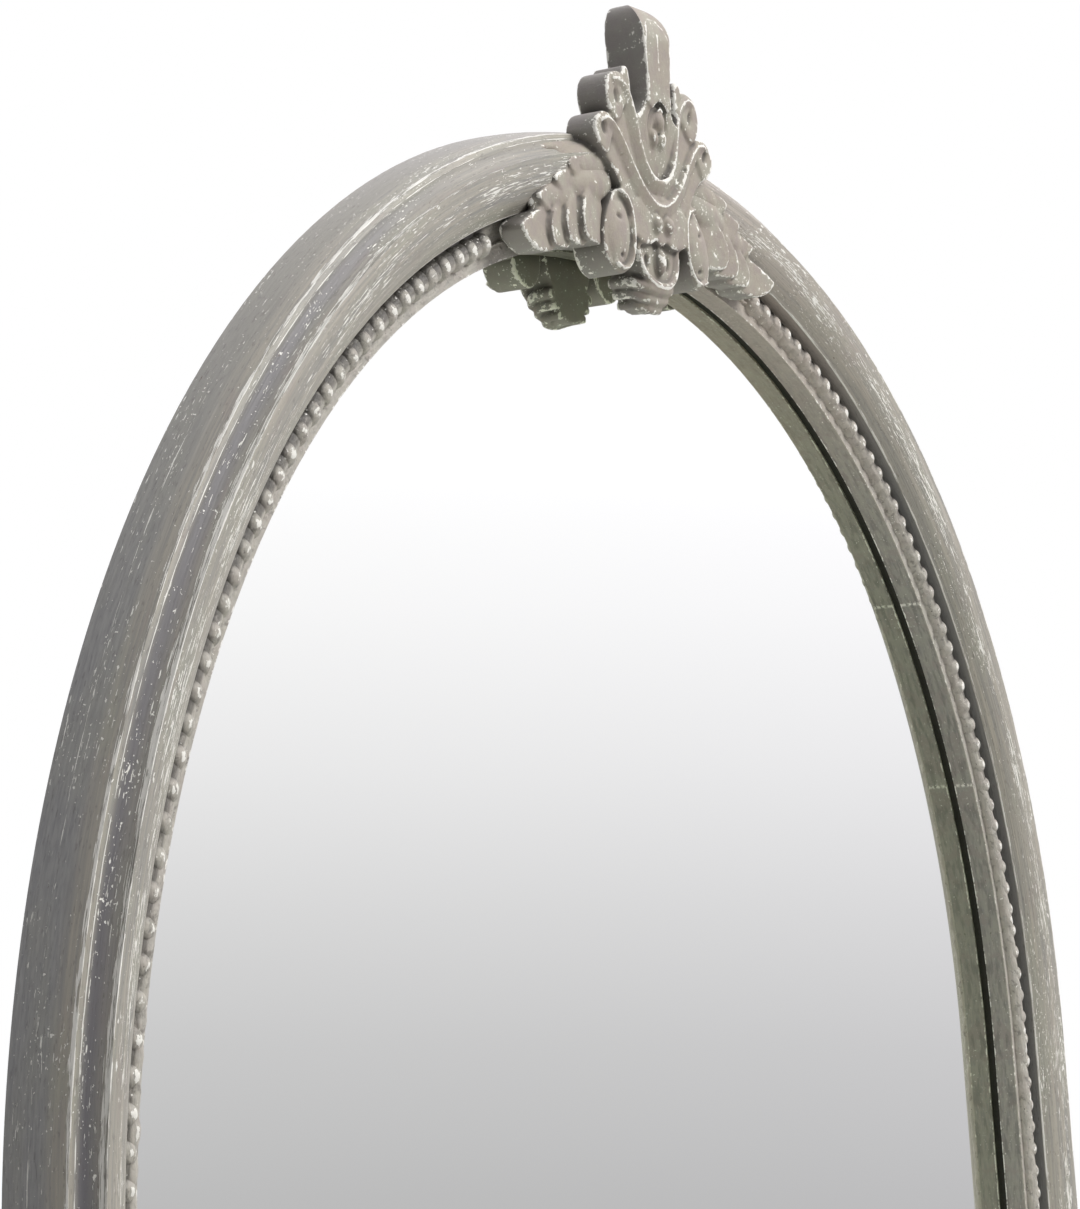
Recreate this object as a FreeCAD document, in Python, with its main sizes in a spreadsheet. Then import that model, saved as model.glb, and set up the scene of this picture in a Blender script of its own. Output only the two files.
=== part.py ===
"""Arched wall mirror with a beaded, moulded wooden frame and a carved crest.

Lengths are millimetres and angles are degrees. +Z is up and the glass faces -Y.
The origin is midway between the two hanging rings, on the rear face of the back board.
"""
import FreeCAD, Part
import math
import os
import types

import Sketcher

Vector = FreeCAD.Vector
Rotation = FreeCAD.Rotation
ACROSS = Vector(1, 0, 0)
BACKWARD = Vector(0, 1, 0)
UP = Vector(0, 0, 1)

# Driving sizes, each in its own cell of the sheet
LENGTHS = {
    # Overall: half the width between the sight edges, the moulding's face, the start of the arch
    # above the floor edge, and how far below it the hanging rings are
    "sight_half_width": 400,
    "face_width": 50,
    "spring_height": 1350,
    "hang_drop": 80,
    # Moulding section: distance outwards from the sight edge, and forwards from the frame's back
    "rebate_width": 12,
    "step_front": 25.2,
    "crown_out": 30,
    "crown_front": 33.2,
    "brow_radius": 22,
    "ridge_out": 37.5,
    "ridge_front": 34.2,
    "crown_radius": 60,
    "cove_out": 44.2,
    "cove_front": 27.2,
    "cove_radius": 6.5,
    "fillet_out": 46.5,
    "fillet_front": 26.4,
    "side_radius": 70,
    "chamfer_rise": 3.4,
    "chamfer_run": 5,
    # Beaded slip along the sight edge
    "slip_width": 17,
    "slip_front": 18,
    "bead_out": 9.3,
    "bead_radius": 5.3,
    "bead_pitch": 12.05,
    "astragal_radius": 4.6,
    "astragal_sink": 0.9,
    # Glass, the tape that beds it, its setting blocks and the back board
    "glass_thickness": 5,
    "glass_play": 2,
    "tape_thickness": 2.2,
    "tape_setback": 1.5,
    "tape_width": 7.5,
    "block_length": 60,
    "board_thickness": 4,
    "board_overlap": 26,
    # Joint dowels: two across each joint of the frame
    "dowel_radius": 4,
    "dowel_length": 40,
    "mitre_dowel_length": 26,
    "dowel_play": 0.1,
    "inner_dowel_out": 25,
    "inner_dowel_front": 12,
    "outer_dowel_out": 37,
    "outer_dowel_front": 18,
    "crest_dowel_radius": 3,
    "crest_dowel_length": 22,
    "crest_dowel_spread": 32,
    "crest_dowel_front": 36.5,
    # Screws
    "screw_radius": 1.6,
    "screw_length": 18,
    "screw_head_radius": 3.5,
    "screw_head_height": 2,
    "screw_out": 24,
    "screw_play": 0.05,
    # Ring hangers
    "hanger_out": 30,
    "strap_width": 15,
    "strap_length": 46,
    "strap_thickness": 1.5,
    "strap_upper_hole": 20,
    "strap_lower_hole": 38,
    "loop_wall": 1.2,
    "ring_wire_radius": 1.5,
    "ring_bend_radius": 11.5,
    "ring_play": 0.35,
    "pivot_stand": 3.4,
    # Wall bumpers
    "bumper_radius": 10,
    "bumper_height": 6,
    "bumper_inset": 40,
    # Crest: heights are from the top of the sight edge, fronts from the frame's back
    "crest_rise": 107,
    "crest_drop": 30,
    "crest_half_width": 64,
    "crest_front": 43,
    "crest_back": 23,
    "plume_half_width": 13,
    "plume_dome": 18,
    "spray_reach": 120,
    "spray_height": 27,
    "spray_front": 38.5,
    "leaflet_radius": 5,
    "cut_overrun": 20,
}
ANGLES = {
    # Joints of the arch, from its top
    "crown_joint_angle": 52,
    "haunch_joint_angle": 68.3,
    "quarter_turn": 90,
    "mitre_angle": 45,
    # The beads stop short of the crest
    "beadless_angle": 17.4,
}

# Carved lobes of the crest, one column each from the top pair down: places as shares of the
# crest's half width and rise, sizes as shares of its half width, fronts as shares of its front
LOBE_ROOT_X_SHARES = (0.12, 0.16, 0.19)
LOBE_ROOT_Z_SHARES = (0.4, 0.3, 0.23)
LOBE_TIP_X_SHARES = (0.33, 0.53, 0.74)
LOBE_TIP_Z_SHARES = (0.63, 0.555, 0.4)
LOBE_RADIUS_SHARES = (0.1, 0.16, 0.145)
LOBE_FRONT_SHARES = (0.9, 0.9, 0.91)
SHIELD_LOW_SHARE = 0.17
SHIELD_HIGH_SHARE = 0.25
SHIELD_RADIUS_SHARE = 0.34
SHIELD_FRONT_SHARE = 0.93
VOLUTE_X_SHARES = (0.46, 0.6)
VOLUTE_Z_SHARES = (0.14, -0.04)
VOLUTE_RADIUS_SHARE = 0.19
VOLUTE_FRONT_SHARE = 0.915
# Tail steps below the shield, as shares of the crest's drop, half width and front
TAIL_LOW_SHARES = (0.62, 0.82, 1.0)
TAIL_RADIUS_SHARES = (0.31, 0.24, 0.17)
TAIL_FRONT_SHARES = (0.88, 0.84, 0.78)
# The hanging pieces stay this share of the slip's front clear of it
CREST_CLEAR_SHARE = 1.08
# Leaf sprays: leaflets along the spray's reach, with their lean, all as shares of the reach
SPRAY_START_SHARE = 0.36
LEAFLET_PLACE_SHARES = (0.44, 0.56, 0.68, 0.8)
LEAFLET_LEAN_SHARE = 0.1
# Leaflets start above the spray's lower edge, by this share of their radius
LEAFLET_ROOT_SHARE = 1.3
VANE_FRONT_SHARE = 0.95
VANE_HEIGHT_SHARE = 0.62
# Back board screws: heights up a stile, places across the bottom rail, angles from the arch's top
STILE_SCREW_SHARES = (0.06, 0.22, 0.38, 0.54, 0.70, 0.86)
RAIL_SCREW_SHARES = (-0.75, -0.25, 0.25, 0.75)
ARCH_SCREW_SHARES = (0.16, 0.42, 0.67, 0.92)
BLOCK_PLACE_SHARE = 0.5
# A mitre block is this many face widths long, so that it passes both edges of the moulding
MITRE_BLOCK_SHARE = 4
# The half-round under the beads stops before the plain strip, at this share of its angle
ASTRAGAL_STOP_SHARE = 1.05
HALF = 0.5


class Size:
    """A number together with the sheet formula that gives it."""

    def __init__(self, value, formula):
        self.value = value
        self.formula = formula

    def __add__(self, other):
        return Size(self.value + other.value, f"({self.formula} + {other.formula})")

    def __sub__(self, other):
        return Size(self.value - other.value, f"({self.formula} - {other.formula})")

    def __neg__(self):
        return Size(-self.value, f"(0 - {self.formula})")

    def __mul__(self, share):
        return Size(self.value * share, f"({self.formula} * {share})")


doc = FreeCAD.newDocument("arched_mirror")
sheet = doc.addObject("Spreadsheet::Sheet", "Sizes")
for row, (name, number) in enumerate({**LENGTHS, **ANGLES}.items(), start=1):
    sheet.set(f"A{row}", name)
    sheet.set(f"B{row}", str(number))
    sheet.setAlias(f"B{row}", name)
doc.recompute()
d = types.SimpleNamespace()
for name in {**LENGTHS, **ANGLES}:
    setattr(d, name, Size(float(sheet.get(name)), f"Sizes.{name}"))

# Levels and offsets that several pieces share
zero = d.face_width - d.face_width
frame_back = -d.board_thickness
spring_level = d.hang_drop
bottom_level = d.hang_drop - d.spring_height
rebate_depth = d.glass_thickness + d.tape_thickness
sight_floor = bottom_level + d.face_width
outer_half_width = d.sight_half_width + d.face_width
board_half_width = d.sight_half_width + d.rebate_width + d.board_overlap
arch_centre = Vector(0, 0, spring_level.value)
nodes = []


def keep(obj, label):
    """Give a finished sub-part its label and list it for writing."""
    obj.Label = label
    nodes.append(obj)
    return obj


def bind(obj, prop, amount):
    """Tie a property to the sheet."""
    obj.setExpression(prop, amount.formula)


def place(obj, x=zero, y=zero, z=zero, axis=UP, turn=None):
    """Put an object at a place tied to the sheet, turned about an axis."""
    angle = turn.value if turn else 0
    obj.Placement = FreeCAD.Placement(Vector(x.value, y.value, z.value), Rotation(axis, angle))
    for prop, amount in (("x", x), ("y", y), ("z", z)):
        bind(obj, f"Placement.Base.{prop}", amount)
    return obj


def plane(body, role):
    """An origin plane of a body, by its role."""
    for feature in body.Origin.OriginFeatures:
        if feature.Role == role:
            return feature


def outline(body, name, role, corners):
    """A closed sketch of straight edges through (x, y) corners, each tied to the sheet."""
    sketch = body.newObject("Sketcher::SketchObject", name)
    sketch.AttachmentSupport = (plane(body, role), [""])
    sketch.MapMode = "FlatFace"
    points = [Vector(x.value, y.value, 0) for x, y in corners]
    for start, stop in zip(points, points[1:] + points[:1]):
        sketch.addGeometry(Part.LineSegment(start, stop), False)
    for index, (x, y) in enumerate(corners):
        following = (index + 1) % len(corners)
        sketch.addConstraint(Sketcher.Constraint("Coincident", index, 2, following, 1))
        for kind, amount, axis_line in (("DistanceX", x, -2), ("DistanceY", y, -1)):
            if amount.value == 0:
                sketch.addConstraint(Sketcher.Constraint("PointOnObject", index, 1, axis_line))
                continue
            span = (-1, 1, index, 1) if amount.value > 0 else (index, 1, -1, 1)
            reach = amount if amount.value > 0 else -amount
            number = sketch.addConstraint(Sketcher.Constraint(kind, *span, reach.value))
            bind(sketch, f"Constraints[{number}]", reach)
    return sketch


def pad(body, name, sketch, length, backwards=False):
    """Extrude a sketch by a length tied to the sheet."""
    feature = body.newObject("PartDesign::Pad", name)
    feature.Profile = sketch
    feature.Length = length.value
    bind(feature, "Length", length)
    feature.Reversed = backwards
    return feature


def arc(start, stop, radius):
    """The short arc between two points; a radius above zero bulges to the right of the way."""
    run = stop - start
    rise = abs(radius) - math.sqrt(radius ** 2 - (run.Length * HALF) ** 2)
    side = Vector(run.y, -run.x, 0).normalize() * math.copysign(rise, radius)
    return Part.Arc(start, (start + stop) * HALF + side, stop)


def moulding_face():
    """The moulding's section on the right of the spring line, from the rebate round to the back."""
    corners = (
        (d.rebate_width, zero, None),
        (d.rebate_width, rebate_depth, None),
        (d.slip_width, rebate_depth, None),
        (d.slip_width, d.step_front, d.brow_radius),
        (d.crown_out, d.crown_front, d.crown_radius),
        (d.ridge_out, d.ridge_front, -d.cove_radius),
        (d.cove_out, d.cove_front, None),
        (d.fillet_out, d.fillet_front, d.side_radius),
        (d.face_width, d.chamfer_rise, None),
        (d.face_width - d.chamfer_run, zero, None),
    )
    points = [Vector((d.sight_half_width + out).value, (frame_back - front).value, 0)
              for out, front, bend in corners]
    edges = []
    for start, stop, (out, front, bend) in zip(points, points[1:] + points[:1], corners):
        edge = arc(start, stop, bend.value) if bend else Part.LineSegment(start, stop)
        edges.append(edge.toShape())
    return Part.Face(Part.Wire(edges))


# Bores for the dowels and screws, cut from what they pass through
def rod(radius, length, middle, axis):
    """A plain round rod centred on a point."""
    return Part.makeCylinder(radius, length, middle - axis * (length * HALF), axis)


def on_arch(angle, out, front):
    """A point of the arch, by its angle from the top, and the way along the arch there."""
    turn = math.radians(angle)
    reach = d.sight_half_width.value + out
    point = arch_centre + Vector(math.sin(turn) * reach, frame_back.value - front, math.cos(turn) * reach)
    return point, Vector(math.cos(turn), 0, -math.sin(turn))


def dowel_group(play):
    """The arch's dowels, two across each joint, with a given play all round."""
    rods = []
    joints = (0, d.crown_joint_angle.value, d.haunch_joint_angle.value, d.quarter_turn.value)
    for angle in sorted({side * joint for joint in joints for side in (-1, 1)}):
        for out, front in ((d.inner_dowel_out, d.inner_dowel_front),
                           (d.outer_dowel_out, d.outer_dowel_front)):
            middle, along = on_arch(angle, out.value, front.value)
            rods.append(rod(d.dowel_radius.value + play, d.dowel_length.value + play, middle, along))
    return Part.makeCompound(rods)


def mitre_dowel_group(play):
    """One dowel across each bottom mitre, square to the joint."""
    rods = []
    out = d.face_width.value * HALF + d.rebate_width.value * HALF
    for side in (-1, 1):
        middle = Vector(side * (d.sight_half_width.value + out),
                        frame_back.value - d.outer_dowel_front.value, sight_floor.value - out)
        axis = Vector(side, 0, 1).normalize()
        rods.append(rod(d.dowel_radius.value + play, d.mitre_dowel_length.value + play, middle, axis))
    return Part.makeCompound(rods)


def crest_dowel_group(play):
    """Two dowels that peg the crest to the crown of the arch."""
    rods = []
    for side in (-1, 1):
        angle = math.degrees(side * d.crest_dowel_spread.value / d.sight_half_width.value)
        tip, along = on_arch(angle, d.crown_out.value, d.crest_dowel_front.value)
        middle = tip + BACKWARD * (d.crest_dowel_length.value * HALF)
        rods.append(rod(d.crest_dowel_radius.value + play, d.crest_dowel_length.value + play,
                        middle, BACKWARD))
    return Part.makeCompound(rods)


def board_screw_places():
    """Where the back board is screwed to the frame."""
    spots = []
    reach = d.sight_half_width.value + d.screw_out.value
    for side in (-1, 1):
        for share in STILE_SCREW_SHARES:
            level = bottom_level.value + share * d.spring_height.value
            spots.append(Vector(side * reach, 0, level))
        for share in ARCH_SCREW_SHARES:
            turn = math.radians(side * share * d.quarter_turn.value)
            spots.append(arch_centre + Vector(math.sin(turn) * reach, 0, math.cos(turn) * reach))
    for share in RAIL_SCREW_SHARES:
        level = sight_floor.value - d.screw_out.value
        spots.append(Vector(share * d.sight_half_width.value, 0, level))
    return spots


def hanger_screw_places():
    """Where the hanger straps are screwed on, on the face of the straps."""
    reach = d.sight_half_width.value + d.hanger_out.value
    return [Vector(side * reach, d.strap_thickness.value, -drop.value)
            for side in (-1, 1) for drop in (d.strap_upper_hole, d.strap_lower_hole)]


def screw(seat):
    """A wood screw with a domed head, its head's underside at the seat."""
    shank = Part.makeCylinder(d.screw_radius.value, d.screw_length.value, seat, -BACKWARD)
    head = Part.makeCone(d.screw_head_radius.value, d.screw_radius.value,
                         d.screw_head_height.value, seat, BACKWARD)
    return shank.fuse(head).removeSplitter()


def screw_bore(seat):
    """The hole that a screw leaves in what it passes through."""
    play = d.screw_play.value
    return Part.makeCylinder(d.screw_radius.value + play, d.screw_length.value + play, seat, -BACKWARD)


def group(name, shape):
    """A document object that holds a ready shape."""
    feature = doc.addObject("Part::Feature", name)
    feature.Shape = shape
    return feature


all_screw_seats = board_screw_places() + hanger_screw_places()
bores = group("bores", Part.makeCompound(
    [dowel_group(d.dowel_play.value), mitre_dowel_group(d.dowel_play.value),
     crest_dowel_group(d.dowel_play.value)] + [screw_bore(seat) for seat in all_screw_seats]))


def bored(body, label):
    """The node of a piece with its bores cut."""
    cut = doc.addObject("Part::Cut", f"{label}_bored")
    cut.Base = body
    cut.Tool = bores
    return keep(cut, label)


# Frame: two stiles, a bottom rail and six arch segments, all of one moulding
moulding = group("moulding_section", moulding_face())


def length_of_moulding(name, length, both_ways=False):
    """A straight run of the moulding, down from its section or to both sides of it."""
    run = doc.addObject("Part::Extrusion", name)
    run.Base = moulding
    run.DirMode = "Custom"
    run.Dir = -UP
    run.Solid = True
    run.Symmetric = both_ways
    run.LengthFwd = length.value
    bind(run, "LengthFwd", length)
    return run


def mirrored(name, source):
    """The left-hand twin of a right-hand piece."""
    twin = doc.addObject("Part::Mirroring", name)
    twin.Source = source
    twin.Normal = ACROSS
    return twin


def cut_with(name, base, tool):
    """What is left of a piece when another shape is cut from it."""
    cut = doc.addObject("Part::Cut", name)
    cut.Base = base
    cut.Tool = tool
    return cut


def mitre_block(name, over_rail):
    """A block with one face on the right-hand mitre, on the rail's side or the stile's side of it."""
    block = doc.addObject("Part::Box", name)
    bind(block, "Length", d.face_width * MITRE_BLOCK_SHARE)
    bind(block, "Width", d.crown_front + d.cut_overrun * 2)
    bind(block, "Height", d.face_width)
    back = frame_back + d.cut_overrun - (d.crown_front + d.cut_overrun * 2)
    slant = math.sqrt(HALF)
    corner = (d.sight_half_width - d.face_width * (2 * slant), sight_floor)
    if not over_rail:
        corner = (d.sight_half_width - d.face_width * slant, sight_floor + d.face_width * slant)
    place(block, x=corner[0], y=back, z=corner[1], axis=BACKWARD, turn=d.mitre_angle)
    return block


rail_side = mitre_block("mitre_rail_side", True)
stile_side = mitre_block("mitre_stile_side", False)
stile_run_full = length_of_moulding("stile_run_full", d.spring_height)
place(stile_run_full, z=spring_level)
stile_mitred = cut_with("stile_mitred", stile_run_full, rail_side)
bored(stile_mitred, "stile_right")
bored(mirrored("stile_mitred_twin", stile_mitred), "stile_left")

rail_run = length_of_moulding("rail_run", outer_half_width * 2, both_ways=True)
place(rail_run, z=bottom_level + outer_half_width, axis=BACKWARD, turn=d.quarter_turn)
rail_right_end = cut_with("rail_right_end", rail_run, stile_side)
rail_ends = cut_with("rail_both_ends", rail_right_end, mirrored("mitre_twin", stile_side))
bored(rail_ends, "bottom_rail")

SEGMENTS = (
    ("arch_haunch", d.quarter_turn, d.haunch_joint_angle),
    ("arch_shoulder", d.haunch_joint_angle, d.crown_joint_angle),
    ("arch_crown", d.crown_joint_angle, zero),
)
arch_runs = {}
for name, low, high in SEGMENTS:
    for side, word in ((-1, "left"), (1, "right")):
        label = f"{name}_{word}"
        segment = doc.addObject("Part::Revolution", f"{label}_turn")
        arch_runs[label] = segment
        segment.Source = moulding
        segment.Axis = -BACKWARD
        segment.Solid = True
        segment.Angle = low.value - high.value
        bind(segment, "Angle", low - high)
        start = d.quarter_turn - low if side > 0 else d.quarter_turn + high
        place(segment, z=spring_level, axis=BACKWARD, turn=-start)
        bored(segment, label)


# Beaded slips: a flat strip along the sight edge with a row of round beads
def astragal(name, strip, kind, sizes, base, turn):
    """Raise a half-round along a strip, for the beads to be cut from."""
    rod = strip.newObject(kind, f"{name}_astragal")
    for prop, amount in sizes.items():
        setattr(rod, prop, amount.value)
        bind(rod, prop, amount)
    rod.Placement = FreeCAD.Placement(Vector(*[amount.value for amount in base]), turn)
    for prop, amount in zip("xyz", base):
        bind(rod, f"Placement.Base.{prop}", amount)
    doc.recompute()


def beaded(name, strip, sphere_at, pattern_type, axis_role, span_prop, span, count):
    """Add the first bead to a strip and repeat it along the strip."""
    bead = strip.newObject("PartDesign::AdditiveSphere", f"{name}_bead")
    bead.Radius = d.bead_radius.value
    bind(bead, "Radius", d.bead_radius)
    bead.Placement = FreeCAD.Placement(Vector(*[amount.value for amount in sphere_at]), Rotation())
    for prop, amount in zip("xyz", sphere_at):
        bind(bead, f"Placement.Base.{prop}", amount)
    doc.recompute()
    row = strip.newObject(pattern_type, f"{name}_row")
    row.Originals = [bead]
    axis = plane(strip, axis_role)
    if pattern_type == "PartDesign::PolarPattern":
        row.Axis = (axis, [""])
    else:
        row.Direction = (axis, [""])
    setattr(row, span_prop, span)
    row.Occurrences = count
    strip.Tip = row
    return row


bead_circle = d.sight_half_width + d.bead_out
bead_turn = math.degrees(d.bead_pitch.value / bead_circle.value)
arch_beads = int((d.quarter_turn.value - d.beadless_angle.value) / bead_turn)
stile_run = d.spring_height - d.face_width
stile_beads = int((stile_run.value + d.bead_out.value * HALF) / d.bead_pitch.value)
rail_beads = int(d.sight_half_width.value * 2 / d.bead_pitch.value)
slip_depth = d.slip_front - rebate_depth
slip_outer = d.sight_half_width + d.slip_width

arch_slips = {}
for side, word in ((-1, "left"), (1, "right")):
    name = f"arch_slip_{word}"
    strip = doc.addObject("PartDesign::Body", f"{name}_body")
    strip_section = outline(strip, f"{name}_section", "XY_Plane", [
        (d.sight_half_width, -rebate_depth), (d.sight_half_width, -d.slip_front),
        (slip_outer, -d.slip_front), (slip_outer, -rebate_depth)])
    curve = strip.newObject("PartDesign::Revolution", f"{name}_curve")
    curve.Profile = strip_section
    curve.ReferenceAxis = (strip_section, ["V_Axis"])
    curve.Angle = d.quarter_turn.value
    bind(curve, "Angle", d.quarter_turn)
    curve.Reversed = side > 0
    # The row starts half a pitch above the spring line
    beaded_turn = d.quarter_turn - d.beadless_angle * ASTRAGAL_STOP_SHARE
    astragal(name, strip, "PartDesign::AdditiveTorus",
             {"Radius1": bead_circle, "Radius2": d.astragal_radius, "Angle3": beaded_turn},
             (zero, d.astragal_sink - d.slip_front, zero),
             Rotation(ACROSS, d.quarter_turn.value * side))
    half_turn = math.radians(bead_turn * HALF)
    first = (bead_circle * math.cos(half_turn), -d.slip_front, bead_circle * (side * math.sin(half_turn)))
    row = beaded(name, strip, first, "PartDesign::PolarPattern", "Y_Axis", "Angle",
                 bead_turn * (arch_beads - 1), arch_beads)
    row.Reversed = side > 0
    place(strip, y=frame_back, z=spring_level, axis=BACKWARD,
          turn=zero if side > 0 else d.quarter_turn * 2)
    arch_slips[word] = keep(strip, name)

for side, word in ((-1, "left"), (1, "right")):
    name = f"stile_slip_{word}"
    strip = doc.addObject("PartDesign::Body", f"{name}_body")
    near = d.sight_half_width if side > 0 else -d.sight_half_width
    far = slip_outer if side > 0 else -slip_outer
    shape = outline(strip, f"{name}_outline", "XZ_Plane", [
        (near, -stile_run), (far, -stile_run - d.slip_width), (far, zero),
        (near, zero)])
    pad(strip, f"{name}_depth", shape, slip_depth)
    bead_line = bead_circle if side > 0 else -bead_circle
    astragal(name, strip, "PartDesign::AdditiveCylinder",
             {"Radius": d.astragal_radius, "Height": stile_run + d.bead_out * HALF},
             (bead_line, d.astragal_sink - slip_depth, -(stile_run + d.bead_out * HALF)), Rotation())
    first = (bead_line, -slip_depth, -(d.bead_pitch * HALF))
    row = beaded(name, strip, first, "PartDesign::LinearPattern", "Z_Axis", "Length",
                 d.bead_pitch.value * (stile_beads - 1), stile_beads)
    row.Reversed = True
    place(strip, y=frame_back - rebate_depth, z=spring_level)
    keep(strip, name)

strip = doc.addObject("PartDesign::Body", "rail_slip_body")
shape = outline(strip, "rail_slip_outline", "XZ_Plane", [
    (-d.sight_half_width, zero), (-slip_outer, -d.slip_width),
    (slip_outer, -d.slip_width), (d.sight_half_width, zero)])
pad(strip, "rail_slip_depth", shape, slip_depth)
rail_row = d.bead_pitch * (rail_beads - 1)
rail_half = d.sight_half_width + d.bead_out * HALF
astragal("rail_slip", strip, "PartDesign::AdditiveCylinder",
         {"Radius": d.astragal_radius, "Height": rail_half * 2},
         (-rail_half, d.astragal_sink - slip_depth, -d.bead_out), Rotation(BACKWARD, d.quarter_turn.value))
first = (-(rail_row * HALF), -slip_depth, -d.bead_out)
row = beaded("rail_slip", strip, first, "PartDesign::LinearPattern", "X_Axis", "Length",
             rail_row.value, rail_beads)
place(strip, y=frame_back - rebate_depth, z=sight_floor)
keep(strip, "rail_slip")


# Glass and board: an arch-topped sheet, drawn about the centre of the arch
def arch_sheet(name, half_width, foot, thickness, backwards=False):
    """A body with one arch-topped sheet, its foot a given drop below the spring line."""
    body = doc.addObject("PartDesign::Body", f"{name}_body")
    sketch = body.newObject("Sketcher::SketchObject", f"{name}_outline")
    sketch.AttachmentSupport = (plane(body, "XZ_Plane"), [""])
    sketch.MapMode = "FlatFace"
    reach = half_width.value
    left_foot = Vector(-reach, -foot.value, 0)
    right_foot = Vector(reach, -foot.value, 0)
    left_spring = Vector(-reach, 0, 0)
    right_spring = Vector(reach, 0, 0)
    sketch.addGeometry(Part.LineSegment(left_spring, left_foot), False)
    sketch.addGeometry(Part.LineSegment(left_foot, right_foot), False)
    sketch.addGeometry(Part.LineSegment(right_foot, right_spring), False)
    sketch.addGeometry(Part.Arc(right_spring, Vector(0, reach, 0), left_spring), False)
    for rule in (("Coincident", 0, 2, 1, 1), ("Coincident", 1, 2, 2, 1), ("Coincident", 2, 2, 3, 1),
                 ("Coincident", 3, 2, 0, 1), ("Coincident", 3, 3, -1, 1), ("Vertical", 0),
                 ("Vertical", 2), ("Horizontal", 1), ("PointOnObject", 0, 1, -1)):
        sketch.addConstraint(Sketcher.Constraint(*rule))
    number = sketch.addConstraint(Sketcher.Constraint("Radius", 3, reach))
    bind(sketch, f"Constraints[{number}]", half_width)
    number = sketch.addConstraint(Sketcher.Constraint("DistanceY", 1, 1, -1, 1, foot.value))
    bind(sketch, f"Constraints[{number}]", foot)
    pad(body, f"{name}_thickness", sketch, thickness, backwards=backwards)
    return body


glass_edge = d.rebate_width - d.glass_play
glass = arch_sheet("mirror_glass", d.sight_half_width + glass_edge, stile_run + glass_edge,
                   d.glass_thickness)
place(glass, y=frame_back, z=spring_level)
keep(glass, "mirror_glass")

tape_edge = d.tape_setback + d.tape_width
tape_outer = arch_sheet("tape_outer", d.sight_half_width + tape_edge, stile_run + tape_edge,
                        d.tape_thickness)
tape_inner = arch_sheet("tape_inner", d.sight_half_width + d.tape_setback,
                        stile_run + d.tape_setback, d.tape_thickness)
for ring in (tape_outer, tape_inner):
    place(ring, y=frame_back - d.glass_thickness, z=spring_level)
tape = doc.addObject("Part::Cut", "glazing_tape_loop")
tape.Base = tape_outer
tape.Tool = tape_inner
keep(tape, "glazing_tape")

blocks = []
for side, word in ((-1, "left"), (1, "right")):
    block = doc.addObject("Part::Box", f"setting_block_{word}")
    bind(block, "Length", d.block_length)
    bind(block, "Width", d.glass_thickness)
    bind(block, "Height", d.glass_play)
    middle = d.sight_half_width * (side * BLOCK_PLACE_SHARE)
    place(block, x=middle - d.block_length * HALF, y=frame_back - d.glass_thickness,
          z=sight_floor - d.rebate_width)
    blocks.append(block)
setting_blocks = doc.addObject("Part::Compound", "setting_block_pair")
setting_blocks.Links = blocks
keep(setting_blocks, "setting_blocks")

board_edge = d.rebate_width + d.board_overlap
board = arch_sheet("back_board", board_half_width, stile_run + board_edge, d.board_thickness,
                   backwards=True)
place(board, y=frame_back, z=spring_level)
bored(board, "back_board")


# Crest: carved lobes about the top of the sight edge, notched over the moulding
crest_foot = arch_centre + UP * d.sight_half_width.value
half_width = d.crest_half_width.value
rise = d.crest_rise.value
drop = d.crest_drop.value
hanging_back = d.slip_front.value * CREST_CLEAR_SHARE


def lobe(root, tip, radius, front, back):
    """A carved lobe: a round-ended bar between two (x, z) points, from back to front."""
    depth = front - back
    spots = [crest_foot + Vector(x, frame_back.value - back, z) for x, z in (root, tip)]
    solid = Part.makeCylinder(radius, depth, spots[0], -BACKWARD)
    run = spots[1] - spots[0]
    if run.Length:
        edge = run.cross(BACKWARD).normalize() * radius
        ring = Part.makePolygon([spots[0] + edge, spots[1] + edge, spots[1] - edge,
                                 spots[0] - edge, spots[0] + edge])
        bar = Part.Face(ring).extrude(-BACKWARD * depth)
        end = Part.makeCylinder(radius, depth, spots[1], -BACKWARD)
        solid = solid.multiFuse([bar, end])
    return solid.removeSplitter()


def plume():
    """The round-topped plume, its head domed from front to back."""
    radius = d.plume_half_width.value
    front = d.crest_front.value
    back = d.crest_back.value
    body = lobe((0, rise * SHIELD_HIGH_SHARE), (0, rise - radius), radius, front, back)
    dome = d.plume_dome.value
    low = crest_foot + Vector(-half_width, frame_back.value - back, 0)
    base = low + UP * (rise - dome)
    peak = base + UP * dome
    nose = base - BACKWARD * (front - back)
    bulge = base + (UP * dome - BACKWARD * (front - back)) * math.sqrt(HALF)
    face = Part.Face(Part.Wire([
        Part.LineSegment(low - BACKWARD * (front - back), low).toShape(),
        Part.LineSegment(low, peak).toShape(),
        Part.Arc(peak, bulge, nose).toShape(),
        Part.LineSegment(nose, low - BACKWARD * (front - back)).toShape()]))
    return body.common(face.extrude(ACROSS * (half_width * 2)))


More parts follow.
